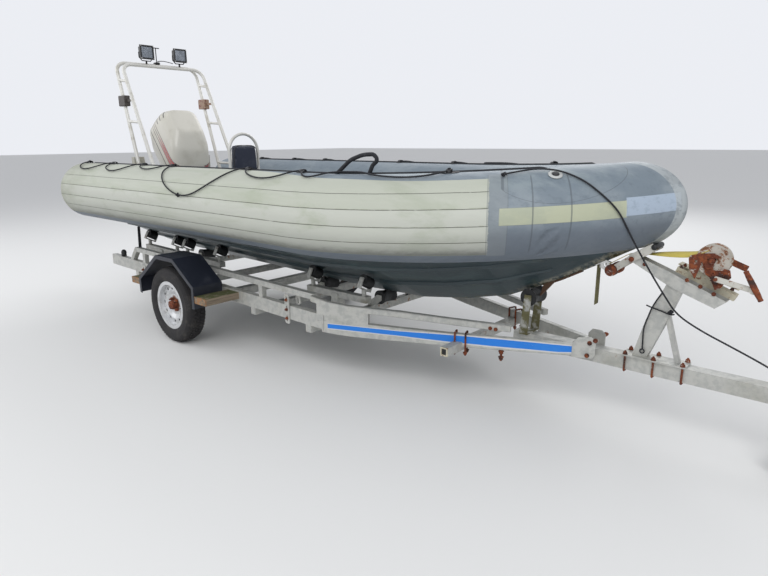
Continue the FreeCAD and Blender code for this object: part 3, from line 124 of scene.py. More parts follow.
bpy.ops.mesh.primitive_plane_add(size=FLOOR_SIZE)
floor = bpy.context.object
floor.name = "floor"
floor.data.materials.append(plain("floor", (0.78, 0.78, 0.77), 0.9))
world = bpy.data.worlds.new("sky")
scene.world = world
world.use_nodes = True
sky = world.node_tree
background = sky.nodes["Background"]
background.inputs["Color"].default_value = (0.93, 0.95, 1, 1)
rays = sky.nodes.new("ShaderNodeLightPath")
seen = rays.outputs["Is Camera Ray"]
for kind in ("Is Transmission Ray", "Is Glossy Ray"):
    either = sky.nodes.new("ShaderNodeMath")
    either.operation = "MAXIMUM"
    sky.links.new(seen, either.inputs[0])
    sky.links.new(rays.outputs[kind], either.inputs[1])
    seen = either.outputs[0]
level = sky.nodes.new("ShaderNodeMapRange")
level.inputs["To Min"].default_value = SKY_LIGHTS
level.inputs["To Max"].default_value = SKY_SEEN
sky.links.new(seen, level.inputs["Value"])
sky.links.new(level.outputs["Result"], background.inputs["Strength"])
middle = Vector((0, 0, 0.8))
LAMPS = (("key", (5, -6.5, 6.5), 420), ("fill", (-7, -5, 5), 200), ("back", (-2, 7, 6), 260))
for name, place, power in LAMPS:
    lamp(name, Vector(place), middle, LAMP_SIZE, power)
print("three broad lamps")

# %% [markdown]
# ## A short way to write a finish
# Weathered fabric, paint and zinc are sums of noise, masks and lines. Drawn as node boxes they are
# long, so a small class lets each finish be written as arithmetic. Every operator makes one Math
# node. All patterns read the object's own coordinates or the piece's own attributes.

# %% Node arithmetic
class Value:
    """A number that varies over a surface; its operators make Math nodes."""

    def __init__(self, tree, socket):
        self.tree = tree
        self.socket = socket

    def made(self, operation, *others):
        node = self.tree.nodes.new("ShaderNodeMath")
        node.operation = operation
        for slot, item in enumerate((self,) + others):
            if isinstance(item, Value):
                self.tree.links.new(item.socket, node.inputs[slot])
            else:
                node.inputs[slot].default_value = item
        return Value(self.tree, node.outputs[0])

    def __add__(self, other):
        return self.made("ADD", other)

    def __sub__(self, other):
        return self.made("SUBTRACT", other)

    def __mul__(self, other):
        return self.made("MULTIPLY", other)

    def between(self, low, high):
        """0 below low, 1 above high and smooth between; low above high turns it round."""
        node = self.tree.nodes.new("ShaderNodeMapRange")
        node.interpolation_type = "SMOOTHSTEP"
        flip = low > high
        self.tree.links.new(self.socket, node.inputs["Value"])
        node.inputs["From Min"].default_value = min(low, high)
        node.inputs["From Max"].default_value = max(low, high)
        node.inputs["To Min"].default_value = 1.0 if flip else 0.0
        node.inputs["To Max"].default_value = 0.0 if flip else 1.0
        return Value(self.tree, node.outputs["Result"])

    def line(self, place, half, soft):
        """1 within a half width of a place."""
        return (self - place).made("ABSOLUTE").between(half + soft, half)


class Finish:
    """One material, with the inputs that its arithmetic reads."""

    def __init__(self, name, colour, rough=0.6, metal=0.0, coat=0.0):
        self.material = bpy.data.materials.new(name)
        self.material.use_nodes = True
        self.tree = self.material.node_tree
        self.shader = self.tree.nodes["Principled BSDF"]
        self.shader.inputs["Base Color"].default_value = (*colour, 1)
        self.shader.inputs["Roughness"].default_value = rough
        self.shader.inputs["Metallic"].default_value = metal
        self.shader.inputs["Coat Weight"].default_value = coat
        self.colour = colour
        self.last = None
        self.place = self.tree.nodes.new("ShaderNodeTexCoord").outputs["Object"]

    def axis(self, index):
        node = self.tree.nodes.new("ShaderNodeSeparateXYZ")
        self.tree.links.new(self.place, node.inputs[0])
        return Value(self.tree, node.outputs[index])

    def normal(self, index):
        """How far the surface faces along x, y or z."""
        geometry = self.tree.nodes.new("ShaderNodeNewGeometry")
        node = self.tree.nodes.new("ShaderNodeSeparateXYZ")
        self.tree.links.new(geometry.outputs["Normal"], node.inputs[0])
        return Value(self.tree, node.outputs[index])

    def attribute(self, name):
        node = self.tree.nodes.new("ShaderNodeAttribute")
        node.attribute_name = name
        return Value(self.tree, node.outputs["Fac"])

    def along(self, direction):
        node = self.tree.nodes.new("ShaderNodeVectorMath")
        node.operation = "DOT_PRODUCT"
        self.tree.links.new(self.place, node.inputs[0])
        node.inputs[1].default_value = direction
        return Value(self.tree, node.outputs["Value"])

    def noise(self, scale, stretch=(1, 1, 1), detail=4.0, rough=0.6):
        shaped = self.tree.nodes.new("ShaderNodeMapping")
        self.tree.links.new(self.place, shaped.inputs["Vector"])
        shaped.inputs["Scale"].default_value = stretch
        node = self.tree.nodes.new("ShaderNodeTexNoise")
        self.tree.links.new(shaped.outputs["Vector"], node.inputs["Vector"])
        node.inputs["Scale"].default_value = scale
        node.inputs["Detail"].default_value = detail
        node.inputs["Roughness"].default_value = rough
        return Value(self.tree, node.outputs["Fac"])

    def tint(self, mask, colour):
        """Lays a colour over what is there, where the mask is 1."""
        node = self.tree.nodes.new("ShaderNodeMix")
        node.data_type = "RGBA"
        self.tree.links.new(mask.socket, node.inputs["Factor"])
        if self.last:
            self.tree.links.new(self.last, node.inputs["A"])
        else:
            node.inputs["A"].default_value = (*self.colour, 1)
        node.inputs["B"].default_value = (*colour, 1)
        self.last = node.outputs["Result"]
        self.tree.links.new(self.last, self.shader.inputs["Base Color"])

    def drive(self, socket, value):
        self.tree.links.new(value.socket, self.shader.inputs[socket])

    def relief(self, height, depth):
        node = self.tree.nodes.new("ShaderNodeBump")
        node.inputs["Distance"].default_value = depth
        self.tree.links.new(height.socket, node.inputs["Height"])
        self.tree.links.new(node.outputs["Normal"], self.shader.inputs["Normal"])


print("finishes are written as arithmetic")

# %% [markdown]
# ## Metal finishes
# The trailer is hot-dip galvanised: a dull, blotchy grey that rusts first at cut ends and bolts.
# One metal with two sizes of noise gives the blotches, and a mask on a rougher noise lets rust
# through. The same recipe with other colours makes the seized winch.

# %% Galvanised, rusty and bright metal
def galvanised_metal(name, rust_from, dirt, mossy=False):
    metal = Finish(name, (0.49, 0.49, 0.46), 0.52, 0.3)
    blotch = metal.noise(26, detail=3)
    metal.tint(blotch.between(0.42, 0.62), (0.41, 0.415, 0.395))
    metal.tint(metal.noise(3.2, detail=5).between(0.52, 0.75) * dirt, (0.27, 0.26, 0.20))
    if mossy:
        ahead = metal.axis(0) - AXLE
        patches = metal.noise(18, detail=7).between(0.36, 0.52)
        metal.tint(ahead.between(2.15, 2.30) * patches, (0.145, 0.135, 0.065))
    metal.tint(metal.noise(7, detail=8, rough=0.75).between(rust_from, rust_from + 0.08), (0.24, 0.10, 0.035))
    metal.drive("Roughness", blotch * 0.35 + 0.35)
    metal.relief(blotch, 0.001)
    return metal.material


zinc = galvanised_metal("galvanised", 0.645, 0.5)
zinc_rusty = galvanised_metal("galvanised, rusting", 0.56, 0.8)
zinc_mossy = galvanised_metal("galvanised, mossy", 0.60, 1.0, True)


def rust_metal():
    metal = Finish("rust", (0.115, 0.028, 0.012), 0.85)
    metal.tint(metal.noise(34, detail=8, rough=0.7).between(0.45, 0.6), (0.235, 0.060, 0.018))
    metal.tint(metal.noise(16, detail=8).between(0.52, 0.62), (0.042, 0.018, 0.013))
    metal.tint(metal.noise(21, detail=7, rough=0.8).between(0.59, 0.64), (0.48, 0.44, 0.39))
    metal.relief(metal.noise(60, detail=6), 0.002)
    return metal.material


rust = rust_metal()


def pale_tube():
    metal = Finish("painted tube", (0.66, 0.65, 0.61), 0.32, 0.1)
    metal.tint(metal.noise(9, detail=5).between(0.52, 0.72), (0.50, 0.48, 0.42))
    return metal.material


hoop_paint = pale_tube()
bright = plain("bright steel", (0.62, 0.62, 0.60), 0.28)
bright.node_tree.nodes["Principled BSDF"].inputs["Metallic"].default_value = 0.9
print("zinc, rust, painted tube, bright steel")

# %% [markdown]
# ## Plastic, rubber, paint and cloth
# Each is one base colour with a second, dustier colour let in by noise, because nothing that stands
# outside for years stays even. The amount of dust and the gloss are what tell them apart.

# %% Plastic, rubber, paint and cloth
def dusty(name, colour, dust, rough, scale=5, low=0.5, high=0.75, grain=0.0, metal=0.0, coat=0.0):
    made = Finish(name, colour, rough, metal, coat)
    made.tint(made.noise(scale, detail=6, rough=0.65).between(low, high), dust)
    if grain:
        made.relief(made.noise(240, detail=2), grain)
    return made.material


guard_black = dusty("mudguard plastic", (0.014, 0.017, 0.027), (0.055, 0.060, 0.075), 0.42, grain=0.0006)
tyre_rubber = dusty("tyre rubber", (0.017, 0.016, 0.017), (0.055, 0.050, 0.045), 0.85, 9, grain=0.001)
roller_black = dusty("roller rubber", (0.010, 0.011, 0.012), (0.04, 0.042, 0.042), 0.6, 14)
black_plastic = dusty("black plastic", (0.012, 0.012, 0.014), (0.035, 0.035, 0.036), 0.45)
pod_white = dusty("pod gelcoat", (0.50, 0.51, 0.50), (0.34, 0.36, 0.34), 0.35)
deck_grey = dusty("deck gelcoat", (0.20, 0.23, 0.25), (0.11, 0.125, 0.12), 0.75, 6, grain=0.002)
transom_cream = dusty("transom gelcoat", (0.50, 0.48, 0.41), (0.30, 0.30, 0.24), 0.45)
engine_grey = dusty("engine casting", (0.50, 0.48, 0.42), (0.30, 0.285, 0.24), 0.42)
prop_grey = dusty("propeller metal", (0.30, 0.31, 0.31), (0.16, 0.16, 0.15), 0.4, metal=0.6)
vinyl_navy = dusty("navy vinyl", (0.012, 0.017, 0.036), (0.030, 0.036, 0.055), 0.5, 12, grain=0.0008)
strap_yellow = dusty("yellow strap", (0.56, 0.46, 0.10), (0.36, 0.31, 0.09), 0.8, 20)
rope_black = dusty("black rope", (0.010, 0.011, 0.014), (0.040, 0.042, 0.046), 0.8, 30)
lamp_black = dusty("lamp housing", (0.012, 0.012, 0.013), (0.035, 0.034, 0.033), 0.4)


def weathered_board():
    """Grey-brown boards, green on top and stained by iron at their outer ends."""
    wood = Finish("weathered board", (0.24, 0.19, 0.135), 0.85)
    fibres = wood.noise(60, (0.5, 0.06, 1.2), 5)
    wood.tint(fibres.between(0.4, 0.65), (0.13, 0.105, 0.075))
    top = wood.normal(2).between(0.5, 0.8)
    wood.tint(top * wood.noise(22, detail=7, rough=0.7).between(0.36, 0.50), (0.075, 0.085, 0.028))
    outer = wood.axis(1).made("ABSOLUTE").between(0.915, 0.935)
    wood.tint(outer * wood.noise(30, detail=6).between(0.45, 0.6), (0.30, 0.15, 0.065))
    wood.relief(fibres, 0.002)
    return wood.material


timber = weathered_board()
print("fourteen finishes for plastic, rubber and cloth")

# %% [markdown]
# ## Rim and cowl paint
# The steel rim is silver with rust that spreads from the hub and the wheel nuts. The cowl is
# off-white with thin stripes parallel to its lower edge; it is drawn by the distance along the
# engine's own axis, which leans forward with the tilt. No lettering is drawn.

# %% Rim and cowl paint
def rim_paint():
    paint = Finish("rim paint", (0.62, 0.63, 0.64), 0.34, 0.4)
    centre_x, centre_z = paint.axis(0) - AXLE, paint.axis(2) - TYRE_R
    from_hub = (centre_x * centre_x + centre_z * centre_z).made("SQRT")
    ragged = from_hub + paint.noise(24, detail=6) * 0.05
    paint.tint(paint.noise(18, detail=5).between(0.5, 0.7), (0.46, 0.46, 0.45))
    paint.tint(ragged.between(0.093, 0.072), (0.16, 0.060, 0.028))
    # The rim's inboard part, deep in the wheel and under the trailer, is painted near-black as painted shade.
    paint.tint(paint.axis(1).made("ABSOLUTE").between(0.852, 0.845), (0.035, 0.030, 0.028))
    paint.tint(paint.noise(30, detail=7, rough=0.75).between(0.63, 0.67), (0.20, 0.085, 0.035))
    return paint.material


TILT = math.radians(53)
ENGINE_UP = (math.sin(TILT), 0, math.cos(TILT))
TILT_PIN = at(-1.355, 0, 1.030)


def cowl_paint():
    paint = Finish("cowl paint", (0.62, 0.60, 0.53), 0.36, coat=0.3)
    up = paint.along(ENGINE_UP) - Vector(ENGINE_UP).dot(TILT_PIN)
    paint.tint(paint.noise(4, detail=6).between(0.5, 0.75), (0.50, 0.475, 0.40))
    return paint, up


rim_silver = rim_paint()
print("rim and cowl")

# %% [markdown]
# ## Cowl stripes
# A cowl's stripes are tapes that run round it level with its lower edge. Masks on the engine's own
# height draw them, so they follow the moulding without a separate skin. Three short dark lines
# near the upper rear corner are the air intake's slots.

# %% Cowl stripes
cowl, cowl_up = cowl_paint()
ENGINE_FORE = (math.cos(TILT), 0, -math.sin(TILT))
cowl_fore = cowl.along(ENGINE_FORE) - Vector(ENGINE_FORE).dot(TILT_PIN)
on_flank = cowl.axis(1).made("ABSOLUTE").between(0.10, 0.12)
band = cowl_fore.between(-0.50, -0.44) * on_flank
for place, half, colour in ((0.318, 0.0035, (0.035, 0.03, 0.03)), (0.366, 0.0022, (0.09, 0.05, 0.05)),
                            (0.379, 0.0062, (0.50, 0.085, 0.095)), (0.392, 0.0022, (0.09, 0.05, 0.05)),
                            (0.404, 0.0062, (0.50, 0.085, 0.095)), (0.416, 0.0022, (0.09, 0.05, 0.05))):
    fade = band if colour[0] < 0.4 else band * cowl_fore.between(-0.36, -0.16)
    cowl.tint(cowl_up.line(place, half, 0.0012) * fade, colour)
slots = cowl_fore.between(-0.41, -0.425)
for place in (0.455, 0.50, 0.545):
    cowl.tint(cowl_up.line(place, 0.004, 0.002) * slots, (0.06, 0.055, 0.05))
print("stripes at", (0.318, 0.379, 0.404), "m up the engine")

# %% [markdown]
# ## Hull and tie-down finishes
# The hull is a dark blue-green gelcoat with a salt and slime line, and the stem is scuffed pale by
# beaching. The tie-downs are one solid, so the colour changes with the station: black at the stern,
# rusty brown under the stem and mossy green where it hangs.

# %% Hull and tie-down finishes
def hull_paint():
    paint = Finish("hull gelcoat", (0.020, 0.038, 0.046), 0.38, coat=0.2)
    height, ahead = paint.axis(2), paint.axis(0) - AXLE
    streak = paint.noise(6, (0.18, 1, 1.6), 6)
    paint.tint(streak.between(0.45, 0.7), (0.045, 0.075, 0.080))
    paint.tint(height.between(0.86, 0.93) * 0.7, (0.035, 0.075, 0.10))
    paint.tint(paint.noise(11, (0.4, 1, 1), 7, 0.7).between(0.58, 0.72) * 0.6, (0.075, 0.085, 0.06))
    middle = paint.axis(1).made("ABSOLUTE")
    scuffed = paint.noise(30, detail=8, rough=0.75).between(0.42, 0.56)
    paint.tint(middle.between(0.05, 0.022) * scuffed * ahead.between(2.3, 2.6), (0.26, 0.25, 0.20))
    paint.tint(middle.between(0.03, 0.012) * paint.noise(50, detail=5).between(0.5, 0.6), (0.08, 0.07, 0.035))
    paint.drive("Roughness", streak * 0.3 + 0.28)
    paint.relief(paint.noise(40, detail=5), 0.0015)
    return paint.material


def strap_cloth():
    cloth = Finish("tie-down webbing", (0.013, 0.013, 0.016), 0.9)
    ahead = cloth.axis(0) - AXLE
    speckle = cloth.noise(40, detail=6)
    cloth.tint(ahead.between(2.3, 2.35), (0.085, 0.045, 0.026))
    cloth.tint(ahead.between(2.81, 2.83), (0.125, 0.115, 0.045))
    cloth.tint(speckle.between(0.5, 0.7) * ahead.between(2.3, 2.35), (0.07, 0.06, 0.035))
    return cloth.material


def lamp_red():
    shell = Finish("sidelight shell", (0.055, 0.045, 0.04), 0.5)
    side = shell.axis(1)
    shell.tint(side.between(0.0, 0.1), (0.30, 0.20, 0.14))
    shell.tint(side.between(0.0, 0.1) * shell.noise(30).between(0.5, 0.6), (0.18, 0.055, 0.04))
    return shell.material


finishes = {
    "hull": hull_paint(), "deck": deck_grey, "transom": transom_cream, "bow_eye": bright,
    "seat_pod": pod_white, "seat_cushion": vinyl_navy, "steering_wheel": black_plastic,
    "steering_column": black_plastic, "backrest_hoop": hoop_paint, "backrest_pad": vinyl_navy,
    "arch_front": hoop_paint, "arch_rear": hoop_paint, "arch_rungs": hoop_paint,
    "floodlights": lamp_black, "sidelights": lamp_red(), "clamp_bracket": engine_grey,
    "swivel_bracket": engine_grey, "outboard_leg": engine_grey, "outboard_cowl": cowl.material,
    "gearcase": engine_grey, "propeller": prop_grey, "hull_rollers": roller_black,
    "winch": rust, "snubber": rust, "winch_strap": strap_yellow, "jockey_wheel": tyre_rubber,
    "lifting_handle": rope_black, "tie_down": strap_cloth(), "mudguard_bars": timber,
    "roller_carriers": zinc_mossy, "cross_members": zinc_rusty, "coupling": zinc_rusty,
}
for side in ("starboard", "port"):
    finishes["tyre_" + side] = tyre_rubber
    finishes["rim_" + side] = rim_silver
    finishes["hub_" + side] = rust
    finishes["mudguard_" + side] = guard_black
for name, node in nodes.items():
    node.data.materials.clear()
    node.data.materials.append(finishes.get(name, zinc))
print(len(finishes), "solids have a finish of their own")

# %% [markdown]
# ## The inflatable tube
# The tube is a ring of coated fabric that runs from one blunt stern end, round the bow, to the
# other. It could be a circle swept along a curve, but the finish has to know where it is on the
# tube: the long strips and patches follow it. So rings are placed by the rule that the
# solids use, and each point keeps its station and its angle down from the top as two attributes.

# %% Tube centre line
TUBE_R, TUBE_Y, TUBE_Z = 0.236, 0.7607, 1.0655
STERN, CAP_FRONT, CAP_CORNER = -1.645, -1.515, 0.095
BOW_FROM, BOW_NOSE, BOW_R, BOW_RISE = 1.450, 2.985, 0.218, 0.085
bow_run = BOW_NOSE - BOW_FROM
BEND_R = (bow_run ** 2 + TUBE_Y ** 2) / (2 * TUBE_Y)
BEND_END = 2 * math.atan2(TUBE_Y, bow_run)


def cap_radius(station):
    """Radius of the tube over its blunt stern end: a flat dome with a rounded corner."""
    deep, lift = CAP_FRONT - STERN, TUBE_R - CAP_CORNER
    dome = (deep ** 2 + lift ** 2 - CAP_CORNER ** 2) / (2 * (deep - CAP_CORNER))
    reach = max(station - STERN, 0)
    if reach >= deep:
        return TUBE_R
    on_dome = math.sqrt(max(dome ** 2 - (dome - reach) ** 2, 0))
    on_corner = lift + math.sqrt(max(CAP_CORNER ** 2 - (deep - reach) ** 2, 0))
    return min(on_dome, on_corner) if on_dome < lift * 1.31 else on_corner


def tube_frame(share):
    """Centre, heading and radius at a share of the port half of the bow's bend, past it too."""
    turn = BEND_END * min(share, 1)
    past = max(share - 1, 0) * BEND_R * BEND_END
    centre = at(BOW_FROM + BEND_R * math.sin(turn) + past * math.cos(turn),
                TUBE_Y - BEND_R * (1 - math.cos(turn)) - past * math.sin(turn),
                TUBE_Z + BOW_RISE * max(share, 0) ** 1.6)
    return centre, Vector((math.cos(turn), -math.sin(turn), 0)), TUBE_R + (BOW_R - TUBE_R) * share


def skin_point(centre, heading, degrees, reach):
    """A point round a centre of the tube, by its angle outboard from the top."""
    outboard = Vector((-heading.y, heading.x, 0))
    angle = math.radians(degrees)
    return centre + (outboard * math.sin(angle) + Vector((0, 0, 1)) * math.cos(angle)) * reach


def on_tube(station, degrees, lift=0.0, port=True):
    """A point over the tube's skin, by its station and its angle outboard from the top."""
    if station <= BOW_FROM:
        centre, heading, radius = at(station, TUBE_Y, TUBE_Z), Vector((1, 0, 0)), cap_radius(station)
    else:
        turn = math.asin(min((station - BOW_FROM) / BEND_R, 1))
        centre, heading, radius = tube_frame(turn / BEND_END)
    point = skin_point(centre, heading, degrees, radius + lift)
    return point if port else Vector((point.x, -point.y, point.z))


print("bend radius", round(BEND_R, 3), "m, through", round(math.degrees(BEND_END), 1), "degrees")

# %% [markdown]
# The two halves meet at the nose in one vertical plane. Each is made a little too long and cut
# there, and the far half is the mirror image of the near one. Between two seams a strip of fabric
# bulges by a millimetre or two, which is what makes the real tube look faintly planked.

# %% Tube rings
SEAMS = [30.0, 51.5, 73.0, 94.5, 115.5, 137.0]
SEAM_PITCH = SEAMS[2] - SEAMS[1]
STRIPS_END = 2.462
AROUND = 144
WRAP = -140.0


def planked(station, degrees):
    """How far a strip bulges between its seams."""
    if not (SEAMS[0] < degrees < SEAMS[-1]) or not CAP_FRONT <= station <= STRIPS_END:
        return 0.0
    place = ((degrees - SEAMS[1]) / SEAM_PITCH) % 1
    return 0.0022 * (math.sin(math.pi * place) - 0.6)


def mesh_of(shape, name):
    """The finished mesh of a shape, which is freed."""
    mesh = bpy.data.meshes.new(name)
    shape.to_mesh(mesh)
    shape.free()
    return mesh


def face_outward(shape):
    bmesh.ops.recalc_face_normals(shape, faces=shape.faces[:])


def skin(shape, rows, closed=True):
    """Faces between rows of points that are rings or strips; a ring may be one point many times."""
    for low, high in zip(rows, rows[1:]):
        for j in range(len(low) if closed else len(low) - 1):
            k = (j + 1) % len(low)
            shape.faces.new(list(dict.fromkeys((low[j], low[k], high[k], high[j]))))


def tube_whole():
    shape = bmesh.new()
    station_layer = shape.verts.layers.float.new("station")
    angle_layer = shape.verts.layers.float.new("angle")
    stations = [STERN + 0.130 * (1 - math.cos(math.pi / 2 * i / 12)) for i in range(1, 12)]
    stations += list(np.linspace(CAP_FRONT, BOW_FROM, 100))
    shares = list(np.linspace(0, 1, 76))[1:] + [1.08, 1.25]
    rings = []
    for kind, values in (("side", stations), ("bow", shares)):
        for value in values:
            ring = []
            for j in range(AROUND):
                degrees = WRAP + 360 * j / AROUND
                if kind == "side":
                    centre, heading = at(value, TUBE_Y, TUBE_Z), Vector((1, 0, 0))
                    radius, place = cap_radius(value), value
                else:
                    centre, heading, radius = tube_frame(value)
                    place = centre.x - AXLE
                reach = radius + planked(place, degrees)
                vertex = shape.verts.new(skin_point(centre, heading, degrees, reach))
                vertex[station_layer] = place
                vertex[angle_layer] = degrees
                ring.append(vertex)
            rings.append(ring)
    tip = shape.verts.new(at(STERN, TUBE_Y, TUBE_Z))
    tip[station_layer] = STERN
    for j in range(AROUND):
        k = (j + 1) % AROUND
        shape.faces.new((tip, rings[0][k], rings[0][j]))
        for a, b in zip(rings, rings[1:]):
            shape.faces.new((a[j], a[k], b[k], b[j]))
    everything = shape.verts[:] + shape.edges[:] + shape.faces[:]
    bmesh.ops.bisect_plane(shape, geom=everything, plane_co=(0, 0, 0), plane_no=(0, -1, 0), clear_outer=True)
    copy = bmesh.ops.duplicate(shape, geom=shape.verts[:] + shape.edges[:] + shape.faces[:])
    for vertex in (item for item in copy["geom"] if isinstance(item, bmesh.types.BMVert)):
        vertex.co.y *= -1
    far_faces = [item for item in copy["geom"] if isinstance(item, bmesh.types.BMFace)]
    bmesh.ops.reverse_faces(shape, faces=far_faces)
    bmesh.ops.remove_doubles(shape, verts=[v for v in shape.verts if abs(v.co.y) < 0.001], dist=0.0005)
    face_outward(shape)
    return mesh_of(shape, "tube")


def show(name, mesh, material, body=ROOT, smooth=True):
    """Links a finished mesh, which rides on one body."""
    made = linked(name, mesh)
    mesh.materials.clear()
    mesh.materials.append(material)
    mesh.shade_smooth() if smooth else mesh.shade_flat()
    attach(made, body)
    return made


print("tube seams at", SEAMS, "degrees from the top")

# %% [markdown]
# The near-white strips are later repairs glued over the old blue-grey fabric. Their masks come from
# the station and the angle: a strip zone, fine dark seam lines, a tint of its own for each strip,
# green slime along the seams and painted shade towards the bottom. The bow keeps its old fabric,
# with a round patch, three upright seams, one long yellowed strip and a paler patch near the nose.

# %% Tube fabric
def tube_fabric():
    cloth = Finish("tube fabric", (0.165, 0.205, 0.24), 0.55)
    station, angle = cloth.attribute("station"), cloth.attribute("angle")
    mottle = cloth.noise(5, (0.5, 1, 1), 6, 0.65)
    fine = cloth.noise(34, (0.35, 1, 1), 6, 0.7)
    long_streak = cloth.noise(7, (0.12, 1, 1), 5)
    cloth.tint(mottle.between(0.4, 0.65), (0.225, 0.265, 0.295))
    cloth.tint(fine.between(0.5, 0.7) * 0.5, (0.115, 0.145, 0.175))
    # The lower outboard side and the bottom of the tube are painted darker as painted shade.
    cloth.tint(angle.between(88, 112) * 0.75, (0.105, 0.125, 0.155))
    upper_bow = angle.between(60, 40) * station.between(2.4, 2.5)
    cloth.tint(upper_bow * mottle.between(0.35, 0.55) * 0.6, (0.26, 0.31, 0.33))
    wander = (fine - 0.5) * 0.02
    ragged = (fine - 0.5) * 1.2
    edge = station + wander
    top_edge = station.between(0.7, 1.75) * 27 + station.between(1.7, 2.2) * 7 - 4
    below_top = (angle - top_edge + ragged).between(-0.4, 0.4)
    strips = edge.between(2.465, 2.459) * below_top * angle.between(137.8, 136.8)
    cloth.tint(strips, (0.455, 0.475, 0.405))
    number = ((angle - SEAMS[1]) * (1 / SEAM_PITCH)).made("FLOOR")
    per_strip = ((number * 12.9898).made("SINE") * 43.7).made("FRACT")
    cloth.tint(strips * per_strip.between(0.1, 0.9) * 0.6, (0.52, 0.53, 0.485))
    cloth.tint(strips * long_streak.between(0.48, 0.66) * 0.65, (0.37, 0.40, 0.315))
    cloth.tint(strips * mottle.between(0.55, 0.75) * 0.5, (0.31, 0.35, 0.24))
    # The strips are painted darker towards the bottom, and near-black at their bottom edge, as painted shade
    # under the tube.
    lower = (angle + (mottle - 0.5) * 18).between(98, 138)
    cloth.tint(strips * lower * 0.6, (0.24, 0.245, 0.225))
    cloth.tint(strips * (angle + (fine - 0.5) * 14).between(122, 139) * 0.75, (0.10, 0.105, 0.095))
    cloth.tint(strips * station.between(-0.9, -1.6) * mottle.between(0.35, 0.6) * 0.55, (0.26, 0.27, 0.20))
    groove = None
    for seam in SEAMS[1:-1]:
        drawn = (angle + (mottle - 0.5) * 1.6).line(seam, 0.16, 0.35)
        groove = drawn if groove is None else groove.made("MAXIMUM", drawn)
    groove = groove * strips
    slime = (angle - SEAMS[1]).made("MODULO", SEAM_PITCH).between(19.0, 21.3)
    cloth.tint(strips * slime * fine.between(0.4, 0.6) * 0.45, (0.25, 0.28, 0.17))
    cloth.tint(groove * fine.between(0.28, 0.45), (0.075, 0.080, 0.065))
    return cloth, station, angle, strips, groove, fine, mottle


cloth, station, angle, strips, groove, fine, mottle = tube_fabric()
print("strips end at station 2.46")

# %% [markdown]
# The bow's patches are further tints on the same cloth. A glue line round a patch is drawn by a
# narrow mask at its edge, and the relief below is the sum of the seams and the patch edges, so each
# strip stands up from the cloth by about its own thickness.

# %% Bow patches and relief
def zone(low_station, high_station, low_angle, high_angle, soft=0.004):
    """1 between two stations and two angles, with soft edges."""
    mask = station.between(low_station - soft, low_station)
    mask = mask * station.between(high_station + soft, high_station)
    return mask * angle.between(low_angle - 0.5, low_angle) * angle.between(high_angle + 0.5, high_angle)


def outline_of(mask):
    return mask.line(0.5, 0.25, 0.2)


yellowed = zone(2.502, 2.899, 74.0, 94.0)
pale_patch = zone(2.901, 3.062, 70.5, 92.5)
margin = zone(2.459, 2.527, 20.0, 140.0)
round_patch = ((station - 2.70) * 4.35).made("POWER", 2.0)
round_patch = (round_patch + ((angle - 24) * (1 / 47.0)).made("POWER", 2.0)).between(1.02, 0.98)
round_patch = round_patch * station.between(2.50, 2.52)
cloth.tint(margin * 0.35, (0.25, 0.27, 0.27))
cloth.tint(outline_of(margin) * 0.5, (0.08, 0.095, 0.105))
cloth.tint(outline_of(round_patch) * 0.6, (0.085, 0.10, 0.115))
cloth.tint(yellowed, (0.43, 0.45, 0.325))
cloth.tint(yellowed * mottle.between(0.45, 0.65) * 0.6, (0.34, 0.37, 0.29))
cloth.tint(pale_patch, (0.36, 0.43, 0.52))
cloth.tint(pale_patch * fine.between(0.5, 0.65) * 0.6, (0.27, 0.33, 0.40))
uprights = station.line(2.612, 0.0016, 0.0016).made("MAXIMUM", station.line(2.735, 0.0016, 0.0016))
uprights = uprights * angle.between(24, 30) * angle.between(140, 130)
cloth.tint(uprights * 0.6, (0.075, 0.09, 0.105))
nose_tape = cloth.axis(1).made("ABSOLUTE").between(0.050, 0.047) * station.between(2.7, 2.75)
cloth.tint(nose_tape * 0.8, (0.40, 0.43, 0.44))
cloth.tint(nose_tape * fine.between(0.5, 0.6) * 0.6, (0.22, 0.25, 0.27))
aft_panel = zone(1.93, 2.20, -8.0, 17.0, 0.01)
cloth.tint(aft_panel * 0.6, (0.29, 0.345, 0.375))
cloth.tint(outline_of(aft_panel) * 0.5, (0.40, 0.43, 0.43))
cap_ring = station.line(-1.585, 0.004, 0.003)
cloth.tint(cap_ring * 0.6, (0.56, 0.57, 0.53))
slant = station * 95 + angle * 0.22 + mottle * 9
creased = station.between(2.625, 2.65) * station.between(2.715, 2.69)
creased = creased * angle.between(98, 104) * angle.between(150, 140)
waves = slant.made("SINE") * creased
relief = strips * 0.35 + yellowed * 0.35 + pale_patch * 0.35 + nose_tape * 0.3 + round_patch * 0.2
relief = relief - groove * 0.45 - uprights * 0.2 + waves * 1.1 + mottle * 0.5 + fine * 0.12
cloth.relief(relief, 0.004)
cloth.drive("Roughness", fine * 0.25 + 0.42)
tube = show("tube", tube_whole(), cloth.material)
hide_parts("collar_starboard", "collar_port", "collar_bow")
print("tube", len(tube.data.polygons), "faces")

# %% [markdown]
# ## Small shapes in code
# Rods, plates and turned parts come again and again on a trailer. A rod is a round section carried
# along a smooth or a straight line, a turned part is an outline spun round an axis, and a plate is
# an outline given a thickness and a small bevel, because no real edge is perfectly sharp.

# %% Rods, turned parts and plates
def gather(name, parts):
    """One mesh out of several."""
    whole = bmesh.new()
    for part in parts:
        whole.from_mesh(part)
        bpy.data.meshes.remove(part)
    return mesh_of(whole, name)


def line_of(points, order=3):
    """A curve through control points; order 2 keeps straight runs."""
    curve = bpy.data.curves.new("line", "CURVE")
    curve.dimensions = "3D"
    curve.resolution_u = 12 if order > 2 else 2
    spline = curve.splines.new("NURBS")
    spline.points.add(len(points) - 1)
    for item, point in zip(spline.points, points):
        item.co = (*point, 1)
    spline.order_u = order
    spline.use_endpoint_u = True
    return curve


